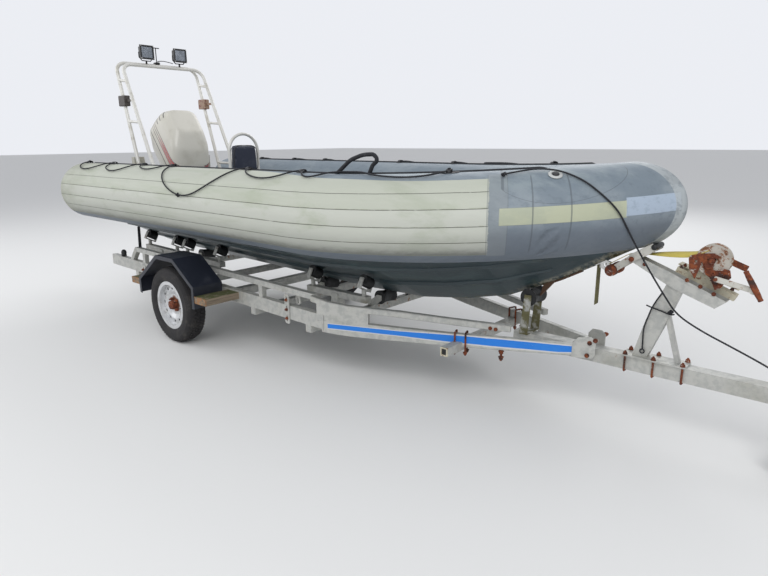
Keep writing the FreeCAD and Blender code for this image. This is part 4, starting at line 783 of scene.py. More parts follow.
def as_mesh(curve):
    holder = linked("holder", curve)
    mesh = evaluated(holder)
    bpy.data.objects.remove(holder)
    return mesh


def smooth_points(points):
    """The points of the smooth line that control points give."""
    return [vertex.co.copy() for vertex in as_mesh(line_of(points)).vertices]


def rod(points, radius, order=3):
    """A round rod along a line."""
    curve = line_of(points, order)
    curve.bevel_depth = radius
    curve.bevel_resolution = 3
    curve.use_fill_caps = True
    return as_mesh(curve)


def turned(profile, centre, axis, steps=32):
    """An outline of (radius, height) pairs, bottom to top, spun round an axis through a centre."""
    axis = Vector(axis).normalized()
    across = axis.orthogonal().normalized()
    other = axis.cross(across)
    turns = [2 * math.pi * i / steps for i in range(steps)]
    spokes = [across * math.cos(turn) + other * math.sin(turn) for turn in turns]
    shape = bmesh.new()
    rings = []
    for radius, height in profile:
        middle = Vector(centre) + axis * height
        if radius < 1e-6:
            rings.append([shape.verts.new(middle)] * steps)
        else:
            rings.append([shape.verts.new(middle + spoke * radius) for spoke in spokes])
    skin(shape, rings)
    face_outward(shape)
    return mesh_of(shape, "turned")


def pin(radius, low, high, centre, steps=16, axis=(0, 1, 0)):
    """A plain round pin between two heights on an axis."""
    return turned([(0, low), (radius, low), (radius, high), (0, high)], centre, axis, steps)


def board(outline, thick, bevel=0.0015):
    """A flat outline, given as points round its edge, with a thickness along its normal."""
    shape = bmesh.new()
    face = shape.faces.new([shape.verts.new(point) for point in outline])
    shape.normal_update()
    normal = face.normal.copy()
    grown = bmesh.ops.extrude_face_region(shape, geom=[face])
    moved = [item for item in grown["geom"] if isinstance(item, bmesh.types.BMVert)]
    bmesh.ops.translate(shape, vec=normal * thick, verts=moved)
    face_outward(shape)
    if bevel:
        bmesh.ops.bevel(shape, geom=shape.edges[:], offset=bevel, segments=2, affect="EDGES")
    return mesh_of(shape, "board")


def bar(start, end, wide, deep, bevel=0.0015):
    """A flat bar from one point to another, wide across and deep in the upright plane."""
    start, end = Vector(start), Vector(end)
    ahead = (end - start).normalized()
    across = ahead.cross(Vector((0, 0, 1))).normalized()
    over = across.cross(ahead)
    corner = start - across * wide / 2 - over * deep / 2
    outline = (corner, corner + over * deep, corner + over * deep + (end - start), corner + (end - start))
    return board(outline, wide, bevel)


print("rod, turned, board and bar are ready")

# %% [markdown]
# ## Growing what repeats
# Bolts, nuts and tread blocks repeat many times. Geometry Nodes place them: a mesh of bare points
# says where each one stands, which way it faces and how large it is, and a tree puts one shape on
# every point. The result is turned into a plain mesh, so nothing live is left on the piece.

# %% Tree helpers
def new_tree(name, **inputs):
    """A tree with a geometry input, named inputs and a geometry output."""
    tree = bpy.data.node_groups.new(name, "GeometryNodeTree")
    tree.interface.new_socket("Geometry", in_out="INPUT", socket_type="NodeSocketGeometry")
    for label, kind in inputs.items():
        tree.interface.new_socket(label, in_out="INPUT", socket_type="NodeSocket" + kind)
    tree.interface.new_socket("Geometry", in_out="OUTPUT", socket_type="NodeSocketGeometry")
    return tree, tree.nodes.new("NodeGroupInput").outputs, tree.nodes.new("NodeGroupOutput").inputs[0]


def put(tree, kind, feeds=None, **settings):
    """Adds one node; feeds name or number its inputs, with a socket or a plain value for each."""
    made = tree.nodes.new(kind)
    for key, value in settings.items():
        setattr(made, key, value)
    for key, value in (feeds or {}).items():
        if isinstance(value, bpy.types.NodeSocket):
            tree.links.new(value, made.inputs[key])
        else:
            made.inputs[key].default_value = value
    return made.outputs


def grow(name, start, tree, body=ROOT, **values):
    """Runs a tree on a mesh and keeps the plain result as a piece that rides on a body."""
    made = linked(name, start)
    modifier = made.modifiers.new("grow", "NODES")
    modifier.node_group = tree
    for item in tree.interface.items_tree:
        if item.in_out == "INPUT" and item.name in values:
            modifier[item.identifier] = values[item.name]
    result = evaluated(made)
    made.modifiers.clear()
    made.data = result
    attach(made, body)
    return made


def spots(places):
    """A mesh of bare points from rows of place, facing and size."""
    mesh = bpy.data.meshes.new("spots")
    mesh.from_pydata([tuple(row[0]) for row in places], [], [])
    mesh.attributes.new("facing", "FLOAT_VECTOR", "POINT")
    mesh.attributes.new("size", "FLOAT", "POINT")
    facings = [component for row in places for component in Vector(row[1]).normalized()]
    mesh.attributes["facing"].data.foreach_set("vector", facings)
    mesh.attributes["size"].data.foreach_set("value", [float(row[2]) for row in places])
    mesh.update()
    return mesh


def realized(tree, placed, material, end):
    """Makes placed copies real, gives them a finish and ends the tree with them."""
    real = put(tree, "GeometryNodeRealizeInstances", {"Geometry": placed})[0]
    finished = put(tree, "GeometryNodeSetMaterial", {"Geometry": real, "Material": material})[0]
    tree.links.new(finished, end)
    return tree


def on_spots(tree, given, block, end):
    """Puts a shape on every spot, turned and scaled by what the spot carries."""
    facing = put(tree, "GeometryNodeInputNamedAttribute", {"Name": "facing"}, data_type="FLOAT_VECTOR")[0]
    size = put(tree, "GeometryNodeInputNamedAttribute", {"Name": "size"}, data_type="FLOAT")[0]
    turn = put(tree, "FunctionNodeAlignRotationToVector", {"Vector": facing}, axis="Z")[0]
    feeds = {"Points": given[0], "Instance": block, "Rotation": turn, "Scale": size}
    placed = put(tree, "GeometryNodeInstanceOnPoints", feeds)[0]
    return realized(tree, placed, given["Finish"], end)


print("trees turn into plain meshes")

# %% [markdown]
# A bolt head here is a washer, a six-sided head with its corners turned off and the end of the
# thread. All three are cylinders and a cone made inside the tree, in units of the spanner size, so
# one tree serves every bolt on the trailer.

# %% Bolt tree
def bolt_tree():
    tree, given, end = new_tree("bolts", Washer="Float", Thread="Float", Finish="Material")
    cylinder, cone = "GeometryNodeMeshCylinder", "GeometryNodeMeshCone"
    washer = put(tree, cylinder, {"Vertices": 16, "Radius": given["Washer"], "Depth": 0.16})["Mesh"]
    head = put(tree, cylinder, {"Vertices": 6, "Radius": 0.577, "Depth": 0.44})["Mesh"]
    head = put(tree, "GeometryNodeTransform", {"Geometry": head, "Translation": (0, 0, 0.30)})[0]
    taper = {"Vertices": 6, "Radius Bottom": 0.577, "Radius Top": 0.46, "Depth": 0.10}
    crown = put(tree, cone, taper)["Mesh"]
    crown = put(tree, "GeometryNodeTransform", {"Geometry": crown, "Translation": (0, 0, 0.52)})[0]
    thread = put(tree, cylinder, {"Vertices": 10, "Radius": 0.28, "Depth": given["Thread"]})["Mesh"]
    thread = put(tree, "GeometryNodeTransform", {"Geometry": thread, "Translation": (0, 0, 0.45)})[0]
    joined = tree.nodes.new("GeometryNodeJoinGeometry")
    for part in (washer, head, crown, thread):
        tree.links.new(part, joined.inputs[0])
    return on_spots(tree, given, joined.outputs[0], end)


BOLTS = bolt_tree()


def bolts(name, places, finish, body=ROOT, washer=0.66, thread=1.0):
    """Bolts at rows of place, facing and spanner size."""
    return grow(name, spots(places), BOLTS, body, Washer=washer, Thread=thread, Finish=finish)


print("one tree for every bolt")

# %% [markdown]
# ## Ropes
# A grab line is one long rope per side that sags in loops between rubber anchors along the top of
# the tube. The painter lies over the bow, hangs to the winch post and runs forward beside the
# drawbar. Each route is a list of control points of one smooth NURBS line, a rope's width above
# what it lies on. The laid strands are then wound round that line as a real three-strand rope is.

# %% Rope routes
ROPE_R, ROPE_LIFT = 0.005, 0.012
GRAB_LINE = [
    (-1.445, -2), (-1.430, 9), (-1.395, 23), (-1.320, 33), (-1.225, 37), (-1.130, 35), (-1.055, 27),
    (-1.010, 13), (-0.985, 0), (-0.945, 0), (-0.920, 12), (-0.885, 27), (-0.800, 35), (-0.700, 38),
    (-0.610, 34), (-0.545, 24), (-0.505, 10), (-0.480, -1), (-0.440, -1), (-0.415, 9), (-0.375, 19),
    (-0.285, 26), (-0.190, 28), (-0.115, 22), (-0.075, 10), (-0.050, -2), (-0.010, -2), (0.015, 12),
    (0.050, 30), (0.115, 45), (0.205, 58), (0.305, 67), (0.400, 72), (0.500, 73), (0.595, 68),
    (0.690, 56), (0.765, 42), (0.815, 25), (0.838, 8), (0.855, -4), (0.895, -4), (0.920, 8),
    (0.965, 20), (1.050, 29), (1.150, 34), (1.250, 33), (1.325, 25), (1.360, 12), (1.378, 0),
    (1.418, 0), (1.443, 11), (1.490, 21), (1.555, 27), (1.610, 19), (1.645, 8), (1.695, 1),
    (1.765, -1), (1.830, 2), (1.880, 10), (1.945, 19), (2.030, 24), (2.120, 26), (2.200, 23),
    (2.255, 15), (2.290, 4),
]
PAINTER_R = 0.0045
LAY_TURN, LAY_POINTS = 7.5, 12
PAINTER_ON_BOW = [(2.517, 26), (2.601, 17), (2.662, 16), (2.714, 25), (2.753, 37), (2.786, 48),
                  (2.826, 65), (2.865, 82), (2.888, 96), (2.930, 122)]
PAINTER_FREE = [(3.129, -0.159, 0.922), (3.178, -0.124, 0.827), (3.227, -0.088, 0.737),
                (3.276, -0.052, 0.651), (3.387, -0.050, 0.593), (3.518, -0.055, 0.546),
                (3.597, -0.058, 0.517), (3.676, -0.060, 0.486), (3.755, -0.054, 0.446),
                (3.800, -0.047, 0.408), (3.822, -0.0435, 0.370)]
routes = {}
for side in ("starboard", "port"):
    points = [on_tube(place, degrees, ROPE_LIFT, side == "port") for place, degrees in GRAB_LINE]
    routes["grab_line_" + side] = points
routes["painter"] = [on_tube(place, degrees, ROPE_LIFT, False) for place, degrees in PAINTER_ON_BOW]
routes["painter"] += [at(*point) for point in PAINTER_FREE]
lines = {name: smooth_points(points) for name, points in routes.items()}
radii = {name: PAINTER_R if name == "painter" else ROPE_R for name in routes}

# %% [markdown]
# The strands are a section with three lobes that turns as it goes along. A real 10 mm rope makes
# one turn in about 35 mm. The frame that carries the section is moved from ring to ring without
# twisting, so that the lay stays even round the bends.

# %% Laid rope
def laid_rope(line, radius, step=0.0042):
    """A three-strand rope round a line of points, closed at both ends."""
    turn_every = radius * LAY_TURN
    places = [0.0]
    for a, b in zip(line, line[1:]):
        places.append(places[-1] + (b - a).length)
    count = int(places[-1] / step)
    wanted = np.linspace(0, places[-1], count)
    coords = [np.interp(wanted, places, [point[i] for point in line]) for i in range(3)]
    middle = [Vector(point) for point in zip(*coords)]
    shape = bmesh.new()
    rings = []
    side = (middle[1] - middle[0]).orthogonal().normalized()
    for i, point in enumerate(middle):
        ahead = (middle[min(i + 1, count - 1)] - middle[max(i - 1, 0)]).normalized()
        side = (side - ahead * side.dot(ahead)).normalized()
        over = ahead.cross(side)
        ring = []
        for j in range(LAY_POINTS):
            turn = 2 * math.pi * j / LAY_POINTS
            lobes = math.cos(3 * (turn - 2 * math.pi * wanted[i] / turn_every))
            reach = radius * (0.93 + 0.09 * lobes)
            ring.append(shape.verts.new(point + (side * math.cos(turn) + over * math.sin(turn)) * reach))
        rings.append(ring)
    skin(shape, rings)
    shape.faces.new(rings[0][::-1])
    shape.faces.new(rings[-1])
    return mesh_of(shape, "laid rope")


cords = {}
for name, line in lines.items():
    cords[name] = show(name + "_laid", laid_rope(line, radii[name]), rope_black)
    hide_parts(name)
print({name: len(piece.data.polygons) for name, piece in cords.items()}, "faces")

# %% [markdown]
# ## Knots and anchors
# A knot is the same rope led through itself. Here it is a short closed line that passes over and
# under in three lobes, drawn tight. An anchor is a moulded rubber patch with a raised bridge; the
# patch is laid on the tube by station and angle, so that it hugs the curve.

# %% Knots
def knot(centre, size, radius, axis=(1, 0, 0)):
    """A small tight trefoil of rope round an axis."""
    turn = Vector((0, 0, 1)).rotation_difference(Vector(axis))
    line = []
    for i in range(61):
        t = 2 * math.pi * i / 60
        flat = math.sin(t) + 2 * math.sin(2 * t), math.cos(t) - 2 * math.cos(2 * t)
        line.append(Vector(centre) + turn @ (Vector((*flat, -1.5 * math.sin(3 * t))) * size / 6))
    return laid_rope(line, radius, 0.003)


ends = {"grab_line_starboard": [], "grab_line_port": [], "painter": []}
for name in ("grab_line_starboard", "grab_line_port"):
    line = lines[name]
    for point, along in ((line[0], line[1] - line[0]), (line[-1], line[-1] - line[-2])):
        ends[name].append(knot(point, 0.022, ROPE_R * 0.8, along))
low_loop = on_tube(0.418, 72.5, ROPE_LIFT, False)
ends["grab_line_starboard"].append(knot(low_loop, 0.024, ROPE_R * 0.85, (1, 0, 0.2)))
for point in (lines["painter"][0], at(3.252, -0.060, 0.660), at(3.822, -0.0435, 0.372)):
    ends["painter"].append(knot(point, 0.024, PAINTER_R * 0.9, (0.5, 0.2, -1)))
knots = {name: show(name + "_knots", gather("knots", parts), rope_black) for name, parts in ends.items()}
for name, piece in cords.items():
    line = lines[name]
    radius = radii[name]
    2 * radius
print("three ropes with", sum(len(parts) for parts in ends.values()), "knots")

# %% Rope anchors
ANCHORS = [-1.437, -0.965, -0.460, -0.030, 0.875, 1.398, 2.290]


def anchor(station, degrees, port):
    """A rubber patch with a bridge over the rope, on the tube's skin."""
    around = math.degrees(1 / TUBE_R)
    rows = []
    for i in range(13):
        across = math.pi * i / 12
        along = 0.046 * math.cos(across)
        reach = 0.030 * math.sin(across)
        row = [on_tube(station + along, degrees + around * reach * side, height, port)
               for side, height in ((-1, 0.0005), (-0.93, 0.0035), (0, 0.004), (0.93, 0.0035), (1, 0.0005))]
        rows.append(row)
    bridge = []
    for i in range(11):
        across = math.pi * i / 10
        lift = 0.003 + 0.0175 * math.sin(across) ** 0.55
        side = -0.022 * math.cos(across)
        outer = [on_tube(station + end, degrees + around * side, lift, port) for end in (-0.012, 0.012)]
        inner = [on_tube(station + end, degrees + around * side * 0.8, max(lift - 0.004, 0.001), port)
                 for end in (0.011, -0.011)]
        bridge.append(outer + inner)
    return rows, bridge


def anchors(port):
    """All the anchors of one side."""
    shape = bmesh.new()
    for station in ANCHORS:
        degrees = -3.0 if abs(station - 0.875) < 0.1 else -1.0
        rows, bridge = anchor(station, degrees + (4 if station > 2 else 0), port)
        for grid, closed in ((rows, False), (bridge, True)):
            skin(shape, [[shape.verts.new(point) for point in row] for row in grid], closed)
    bmesh.ops.remove_doubles(shape, verts=shape.verts[:], dist=0.0002)
    face_outward(shape)
    return mesh_of(shape, "anchors")


show("rope_anchors", gather("anchors", [anchors(True), anchors(False)]), black_plastic)
print(len(ANCHORS), "anchors a side")

# %% [markdown]
# ## Bead, valve and top line
# Where the tube's inner and outer fabrics meet, a rubber bead runs along the top for most of the
# length. It is a flat band with a round cord in it. The valve is a pale ring with a dark cap that
# is screwed into the bow patch.

# %% Top bead
def top_bead(port):
    """A low half-round bead along the top of one tube."""
    shape = bmesh.new()
    rings = []
    section = [(-9.0, 0.0), (-7.5, 0.0025), (-3.2, 0.003), (-2.4, 0.006), (0.0, 0.0085), (2.4, 0.006),
               (3.2, 0.003), (7.5, 0.0025), (9.0, 0.0)]
    for place in np.linspace(-1.40, 2.69, 150):
        taper = min(1, (place + 1.405) / 0.03, (2.695 - place) / 0.03)
        rings.append([shape.verts.new(on_tube(place, -4.6 + 0.24 * wide, 0.0008 + lift * taper, port))
                      for wide, lift in section])
    skin(shape, rings, False)
    face_outward(shape)
    middle = rings[75][4]
    if middle.link_faces[0].normal.z < 0:
        bmesh.ops.reverse_faces(shape, faces=shape.faces[:])
    return mesh_of(shape, "bead")


show("top_beads", gather("beads", [top_bead(True), top_bead(False)]), rope_black)
VALVE = (2.697, 29)
valves, caps = [], []
for port in (True, False):
    base = on_tube(*VALVE, 0.0, port)
    out = on_tube(*VALVE, 1.0, port) - base
    valves.append(turned([(0.0, 0.001), (0.034, 0.001), (0.034, 0.004), (0.027, 0.0075), (0.021, 0.0075),
                          (0.0195, 0.004), (0.0, 0.004)], base, out))
    caps.append(turned([(0.0165, 0.004), (0.0165, 0.009), (0.014, 0.011), (0.006, 0.0115), (0.0, 0.0115)],
                       base, out, 20))
show("valve_rings", gather("valve rings", valves), pod_white)
show("valve_caps", gather("valve caps", caps), black_plastic)
print("bead and valves on both tubes")

# %% [markdown]
# ## Pressed plates and tapering tubes
# Brackets are cut from plate, often with slots, and a flat curve with inner loops fills such a
# shape and gives it thickness and a fine bevel at once. The front rails are tubes that get shallower
# towards the drawbar, so they are drawn as a row of rounded sections.

# %% Plates with holes and tubes of changing depth
def loop(centre, half_long, radius, steps=16):
    """A round hole, or a slot where half_long is more than nothing, as flat points."""
    points = []
    for i in range(steps):
        turn = 2 * math.pi * i / steps
        shift = half_long if math.sin(turn) >= 0 else -half_long
        points.append((centre[0] + radius * math.cos(turn), centre[1] + radius * math.sin(turn) + shift))
    return points


def pressed(outline, holes, thick, origin, across, upward):
    """A plate with holes, drawn flat and stood at an origin on two directions."""
    curve = bpy.data.curves.new("plate", "CURVE")
    curve.dimensions = "2D"
    curve.fill_mode = "BOTH"
    curve.extrude = thick / 2 - 0.0006
    curve.bevel_depth = 0.0006
    curve.bevel_resolution = 1
    for points in [outline] + holes:
        spline = curve.splines.new("POLY")
        spline.points.add(len(points) - 1)
        spline.use_cyclic_u = True
        for item, point in zip(spline.points, points):
            item.co = (*point, 0, 1)
    mesh = as_mesh(curve)
    across, upward = Vector(across).normalized(), Vector(upward).normalized()
    turn = Matrix((across, upward, across.cross(upward))).transposed().to_4x4()
    mesh.transform(Matrix.Translation(origin) @ turn)
    return mesh


def boxed(rings, chamfer):
    """A closed tube through rings of four corners each, with its long edges rounded off."""
    shape = bmesh.new()
    made = []
    for ring in rings:
        row = []
        for i in range(4):
            corner, before, after = ring[i], ring[i - 1], ring[(i + 1) % 4]
            row.append(corner + (before - corner).normalized() * chamfer)
            row.append(corner + (after - corner).normalized() * chamfer)
        made.append([shape.verts.new(point) for point in row])
    skin(shape, made)
    shape.faces.new(made[0])
    shape.faces.new(made[-1])
    face_outward(shape)
    return mesh_of(shape, "tube")


print("plates with holes, tubes of changing depth")

# %% [markdown]
# ## Front rails
# From the kink each side frame runs in to the drawbar: a deep lower tube, a shallow upper one and a
# gusset between them at the bend. A blue tape with white edges runs along the outer face. It is a
# strip of faces of its own with one attribute across it, so its edges stay parallel to it.

# %% Front rails
RAIL_FROM, RAIL_TO = Vector((1.412, 0.6375)), Vector((2.860, 0.058))
rail_way = RAIL_TO - RAIL_FROM
rail_out = Vector((-rail_way.y, rail_way.x)).normalized()
FACE_OUT = {port: Vector((rail_out.x, rail_out.y if port else -rail_out.y, 0)) for port in (True, False)}


def by_rail(share, out, height, port):
    """A point by its share of the front rail's length, distance outboard and height."""
    flat = RAIL_FROM + rail_way * share + rail_out * out
    return at(flat.x, flat.y if port else -flat.y, height)


def rail_ring(share, half, low, high, port):
    return [by_rail(share, -half, low, port), by_rail(share, half, low, port),
            by_rail(share, half, high, port), by_rail(share, -half, high, port)]


LOWER = [(-0.008, 0.318, 0.398), (0.04, 0.310, 0.396), (0.10, 0.306, 0.395), (0.20, 0.306, 0.395),
         (0.35, 0.310, 0.393), (0.50, 0.315, 0.392), (0.70, 0.324, 0.398), (0.90, 0.334, 0.400),
         (1.0, 0.340, 0.400)]
UPPER = [(-0.055, 0.508, 0.544), (0.02, 0.476, 0.513), (0.10, 0.464, 0.500), (0.32, 0.457, 0.494),
         (0.51, 0.444, 0.481), (0.735, 0.434, 0.470)]
GUSSET = [(-0.03, 0.39, 0.520), (0.02, 0.39, 0.482), (0.19, 0.39, 0.466)]
for port in (True, False):
    tubes = []
    for rows, half, chamfer in ((LOWER, 0.020, 0.004), (UPPER, 0.0185, 0.004), (GUSSET, 0.0165, 0.002)):
        tubes.append(boxed([rail_ring(share, half, low, high, port) for share, low, high in rows], chamfer))
    show("front_rail_tubes_" + ("port" if port else "starboard"),
                      gather("front rail", tubes), zinc, smooth=False)
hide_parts("front_rail_port")
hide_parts("front_rail_starboard")
print("front rails", round(rail_way.length, 3), "m long")

# %% Blue tape
TAPE = [(0.018, 0.342, 0.380), (0.32, 0.342, 0.380), (0.50, 0.335, 0.391), (0.70, 0.337, 0.397),
        (0.90, 0.344, 0.398), (0.965, 0.354, 0.398)]
TAPE_ROWS = 4


def tape_strip(port):
    """A strip along the outer face with its place across it, from 0 to 1, on each point."""
    shape = bmesh.new()
    across = shape.verts.layers.float.new("across")
    rows = []
    for share in np.linspace(TAPE[0][0], TAPE[-1][0], 60):
        low, high = (np.interp(share, [row[0] for row in TAPE], [row[i] for row in TAPE]) for i in (1, 2))
        row = []
        for j in range(TAPE_ROWS + 1):
            vertex = shape.verts.new(by_rail(share, 0.0208, low + (high - low) * j / TAPE_ROWS, port))
            vertex[across] = j / TAPE_ROWS
            row.append(vertex)
        rows.append(row)
    for a, b in zip(rows, rows[1:]):
        for j in range(TAPE_ROWS):
            if port:
                shape.faces.new((a[j], a[j + 1], b[j + 1], b[j]))
            else:
                shape.faces.new((a[j], b[j], b[j + 1], a[j + 1]))
    return mesh_of(shape, "tape")


def tape_finish():
    tape = Finish("blue tape", (0.60, 0.60, 0.58), 0.4)
    across = tape.attribute("across")
    scratch = tape.noise(30, (0.25, 0.25, 1.5), 7, 0.75)
    edge = (scratch - 0.5) * 0.10
    blue = (across + edge).between(0.12, 0.15) * (across + edge).between(0.89, 0.86)
    tape.tint(blue, (0.010, 0.185, 0.66))
    tape.tint(blue * tape.noise(5).between(0.5, 0.7) * 0.4, (0.035, 0.24, 0.66))
    tape.tint(scratch.between(0.66, 0.70) * 0.7, (0.50, 0.47, 0.42))
    tape.tint(tape.noise(16, detail=7, rough=0.7).between(0.63, 0.70) * 0.6, (0.26, 0.20, 0.15))
    return tape.material


blue_tape = tape_finish()
show("blue_tapes", gather("tapes", [tape_strip(True), tape_strip(False)]), blue_tape, smooth=False)
print("tape", round((TAPE[-1][0] - TAPE[0][0]) * rail_way.length, 2), "m a side")

# %% [markdown]
# ## Brackets on the frame
# Slotted straps hold the roller bridges to the rails, a thick plate joins each front rail to the
# drawbar, and the front cross tube hangs on U-bolts. A U-bolt is one rod bent round the tube, with
# a washer and a nut on each end. All are old and their bolts rust first.

# %% Slotted straps and junction plates
def strap_plate(station, y, low, high, wide=0.045, slots=2):
    """An upright slotted strap against a rail's face."""
    middle, half = (low + high) / 2, (high - low) / 2
    corner = 0.010
    outline = [(-wide / 2 + corner, -half), (wide / 2 - corner, -half), (wide / 2, -half + corner),
               (wide / 2, half - corner), (wide / 2 - corner, half), (-wide / 2 + corner, half),
               (-wide / 2, half - corner), (-wide / 2, -half + corner)]
    pitch = 2 * half / slots
    holes = [loop((0, -half + pitch * (i + 0.5)), pitch * 0.22, 0.0065) for i in range(slots)]
    return pressed(outline, holes, 0.006, at(station, y, middle), (1, 0, 0), (0, 0, 1))


straps = []
for side in (-1, 1):
    straps.append(strap_plate(1.080, side * 0.6635, 0.309, 0.507, slots=3))
    straps.append(strap_plate(1.142, side * 0.6175, 0.440, 0.545, slots=2))
    straps.append(strap_plate(-0.845, side * 0.6635, 0.365, 0.445, 0.06, 1))
for port in (True, False):
    ahead = Vector((rail_way.x, rail_way.y if port else -rail_way.y, 0)).normalized()
    outline = [(-0.058, -0.052), (0.048, -0.052), (0.060, -0.030), (0.060, 0.052), (0.035, 0.068),
               (-0.030, 0.060), (-0.058, 0.030)]
    straps.append(pressed(outline, [], 0.006, by_rail(0.985, 0.0235, 0.386, port), ahead, (0, 0, 1)))
show("slotted_straps", gather("straps", straps), zinc, smooth=False)
rusty = []
for side in (-1, 1):
    face = (0, side, 0)
    for station, height in ((1.080, 0.345), (1.080, 0.405), (1.080, 0.470)):
        rusty.append((at(station, side * 0.668, height), face, 0.016))
    rusty.append((at(-0.845, side * 0.668, 0.405), face, 0.018))
    for station, height in ((0.168, 0.335), (0.168, 0.375), (-0.455, 0.40), (0.470, 0.385)):
        rusty.append((at(station, side * 0.661, height), face, 0.015))
for port in (True, False):
    for share, height in ((1.004, 0.421), (1.022, 0.438), (0.998, 0.350)):
        rusty.append((by_rail(share, 0.0275, height, port), FACE_OUT[port], 0.019))
    for share, height in ((0.663, 0.448), (0.683, 0.445)):
        rusty.append((by_rail(share, 0.021, height, port), FACE_OUT[port], 0.017))
bolts("frame_bolts", rusty, rust)
print(len(rusty), "rusty bolts on the frame")

# %% U-bolts
def u_bolt(corner_low, side, down, wide, long, radius=0.0055):
    """A rod round a tube: two legs along down, a straight back, and their round bends."""
    a, b = Vector(corner_low), Vector(corner_low) + Vector(side) * wide
    down = Vector(down)
    step = Vector(side) * 0.012
    first_leg = [a - down * long, a - down * long * 0.5, a - down * 0.012, a]
    last_leg = [b, b - down * 0.012, b - down * long * 0.5, b - down * long]
    return rod(first_leg + [a + step, (a + b) / 2, b - step] + last_leg, radius)


def below(point, drop):
    """A point straight below another, or above it for a drop under nothing."""
    return point + Vector((0, 0, -drop))


loops, nuts = [], []
for station in (3.052, 3.192, 3.330):
    loops.append(u_bolt(at(station, -0.0440, 0.3010), (0, 1, 0), (0, 0, -1), 0.088, 0.106))
    for side in (-1, 1):
        nuts.append((at(station, side * 0.0440, 0.3945), (0, 0, 1), 0.019))
for port in (True, False):
    side = 1 if port else -1
    for share in (0.535, 0.575):
        top = by_rail(share, 0.0265, 0.398, port)
        inner = by_rail(share, -0.0265, 0.398, port)
        loops.append(rod([below(top, 0.125), top, below(top, -0.006), below((top + inner) / 2, -0.008),
                          below(inner, -0.006), inner, below(inner, 0.125)], 0.0055))
        nuts += [(below(corner, 0.108), (0, 0, -1), 0.019) for corner in (top, inner)]
    hang = by_rail(0.705, 0.010, 0.322, port)
    loops.append(rod([hang, below(hang, 0.03), below(hang, 0.062)], 0.007))
    nuts += [(below(hang, drop), (0, 0, -1), 0.024) for drop in (0.006, 0.040)]
    for station in (0.150, 0.190):
        loops.append(u_bolt(at(station, side * 0.6120, 0.300), (0, side, 0), (0, 0, -1), 0.0535, 0.05))
show("u_bolts", gather("u bolts", loops), rust)
bolts("u_bolt_nuts", nuts, rust)
print(len(loops), "U-bolts with", len(nuts), "nuts")

# %% [markdown]
# ## Winch
# The winch stands on a cream-painted plate over the channel arm. Rust has taken its cheeks and
# gears, while the pressed drum flanges and the crank keep some pale zinc. Each part is cut or
# turned as the real one is: cheeks and gears from plate, the drum on a lathe, the grip turned.

# %% Winch finishes
def flaking(name, colour, rust_from, rough=0.55):
    """Old paint or zinc over rust."""
    paint = Finish(name, colour, rough)
    worn = paint.noise(30, detail=8, rough=0.75)
    paint.tint(paint.noise(14, detail=5).between(0.45, 0.7) * 0.6, tuple(c * 0.7 for c in colour))
    paint.tint(worn.between(rust_from, rust_from + 0.06), (0.22, 0.085, 0.03))
    paint.tint(worn.between(rust_from + 0.07, rust_from + 0.12), (0.10, 0.045, 0.025))
    paint.relief(worn, 0.0015)
    return paint.material


cream_paint = flaking("cream paint", (0.60, 0.56, 0.43), 0.575)
drum_zinc = flaking("drum zinc", (0.46, 0.43, 0.38), 0.50)
white_paint = flaking("white paint", (0.56, 0.55, 0.50), 0.565)
print("three flaking finishes")

# %% Winch plates and drum
DRUM, DRUM_R, PINION = (3.398, 0.929), 0.075, (3.426, 0.850)
NEAR_CHEEK = [(3.302, 0.877), (3.295, 0.926), (3.301, 0.942), (3.345, 0.955), (3.400, 0.962), (3.425, 0.950),
              (3.418, 0.940), (3.386, 0.940), (3.370, 0.930), (3.386, 0.922), (3.400, 0.907), (3.402, 0.885),
              (3.416, 0.882), (3.440, 0.897), (3.472, 0.892), (3.480, 0.858), (3.458, 0.832), (3.444, 0.806),
              (3.420, 0.792), (3.396, 0.845), (3.374, 0.861), (3.363, 0.891), (3.352, 0.925), (3.344, 0.883),
              (3.330, 0.832)]
FAR_CHEEK = [(3.290, 0.838), (3.285, 0.915), (3.300, 0.945), (3.350, 0.962), (3.392, 0.952), (3.428, 0.925),
             (3.446, 0.865), (3.430, 0.790)]


def on_winch(pair, y=0.0):
    return at(pair[0], y, pair[1])


def cheek(corners, y, holes=()):
    outline = [(x - DRUM[0], z - DRUM[1]) for x, z in corners]
    return pressed(outline, list(holes), 0.005, on_winch(DRUM, y), (1, 0, 0), (0, 0, 1))


def gear(centre, y, teeth, radius, bore=0.010, thick=0.008):
    """A spur gear cut from plate."""
    outline = []
    for i in range(teeth * 4):
        turn = 2 * math.pi * (i + 0.5) / (teeth * 4)
        reach = radius if i % 4 in (0, 1) else radius - 0.006
        outline.append((reach * math.cos(turn), reach * math.sin(turn)))
    return pressed(outline, [loop((0, 0), 0, bore)], thick, on_winch(centre, y), (1, 0, 0), (0, 0, 1))


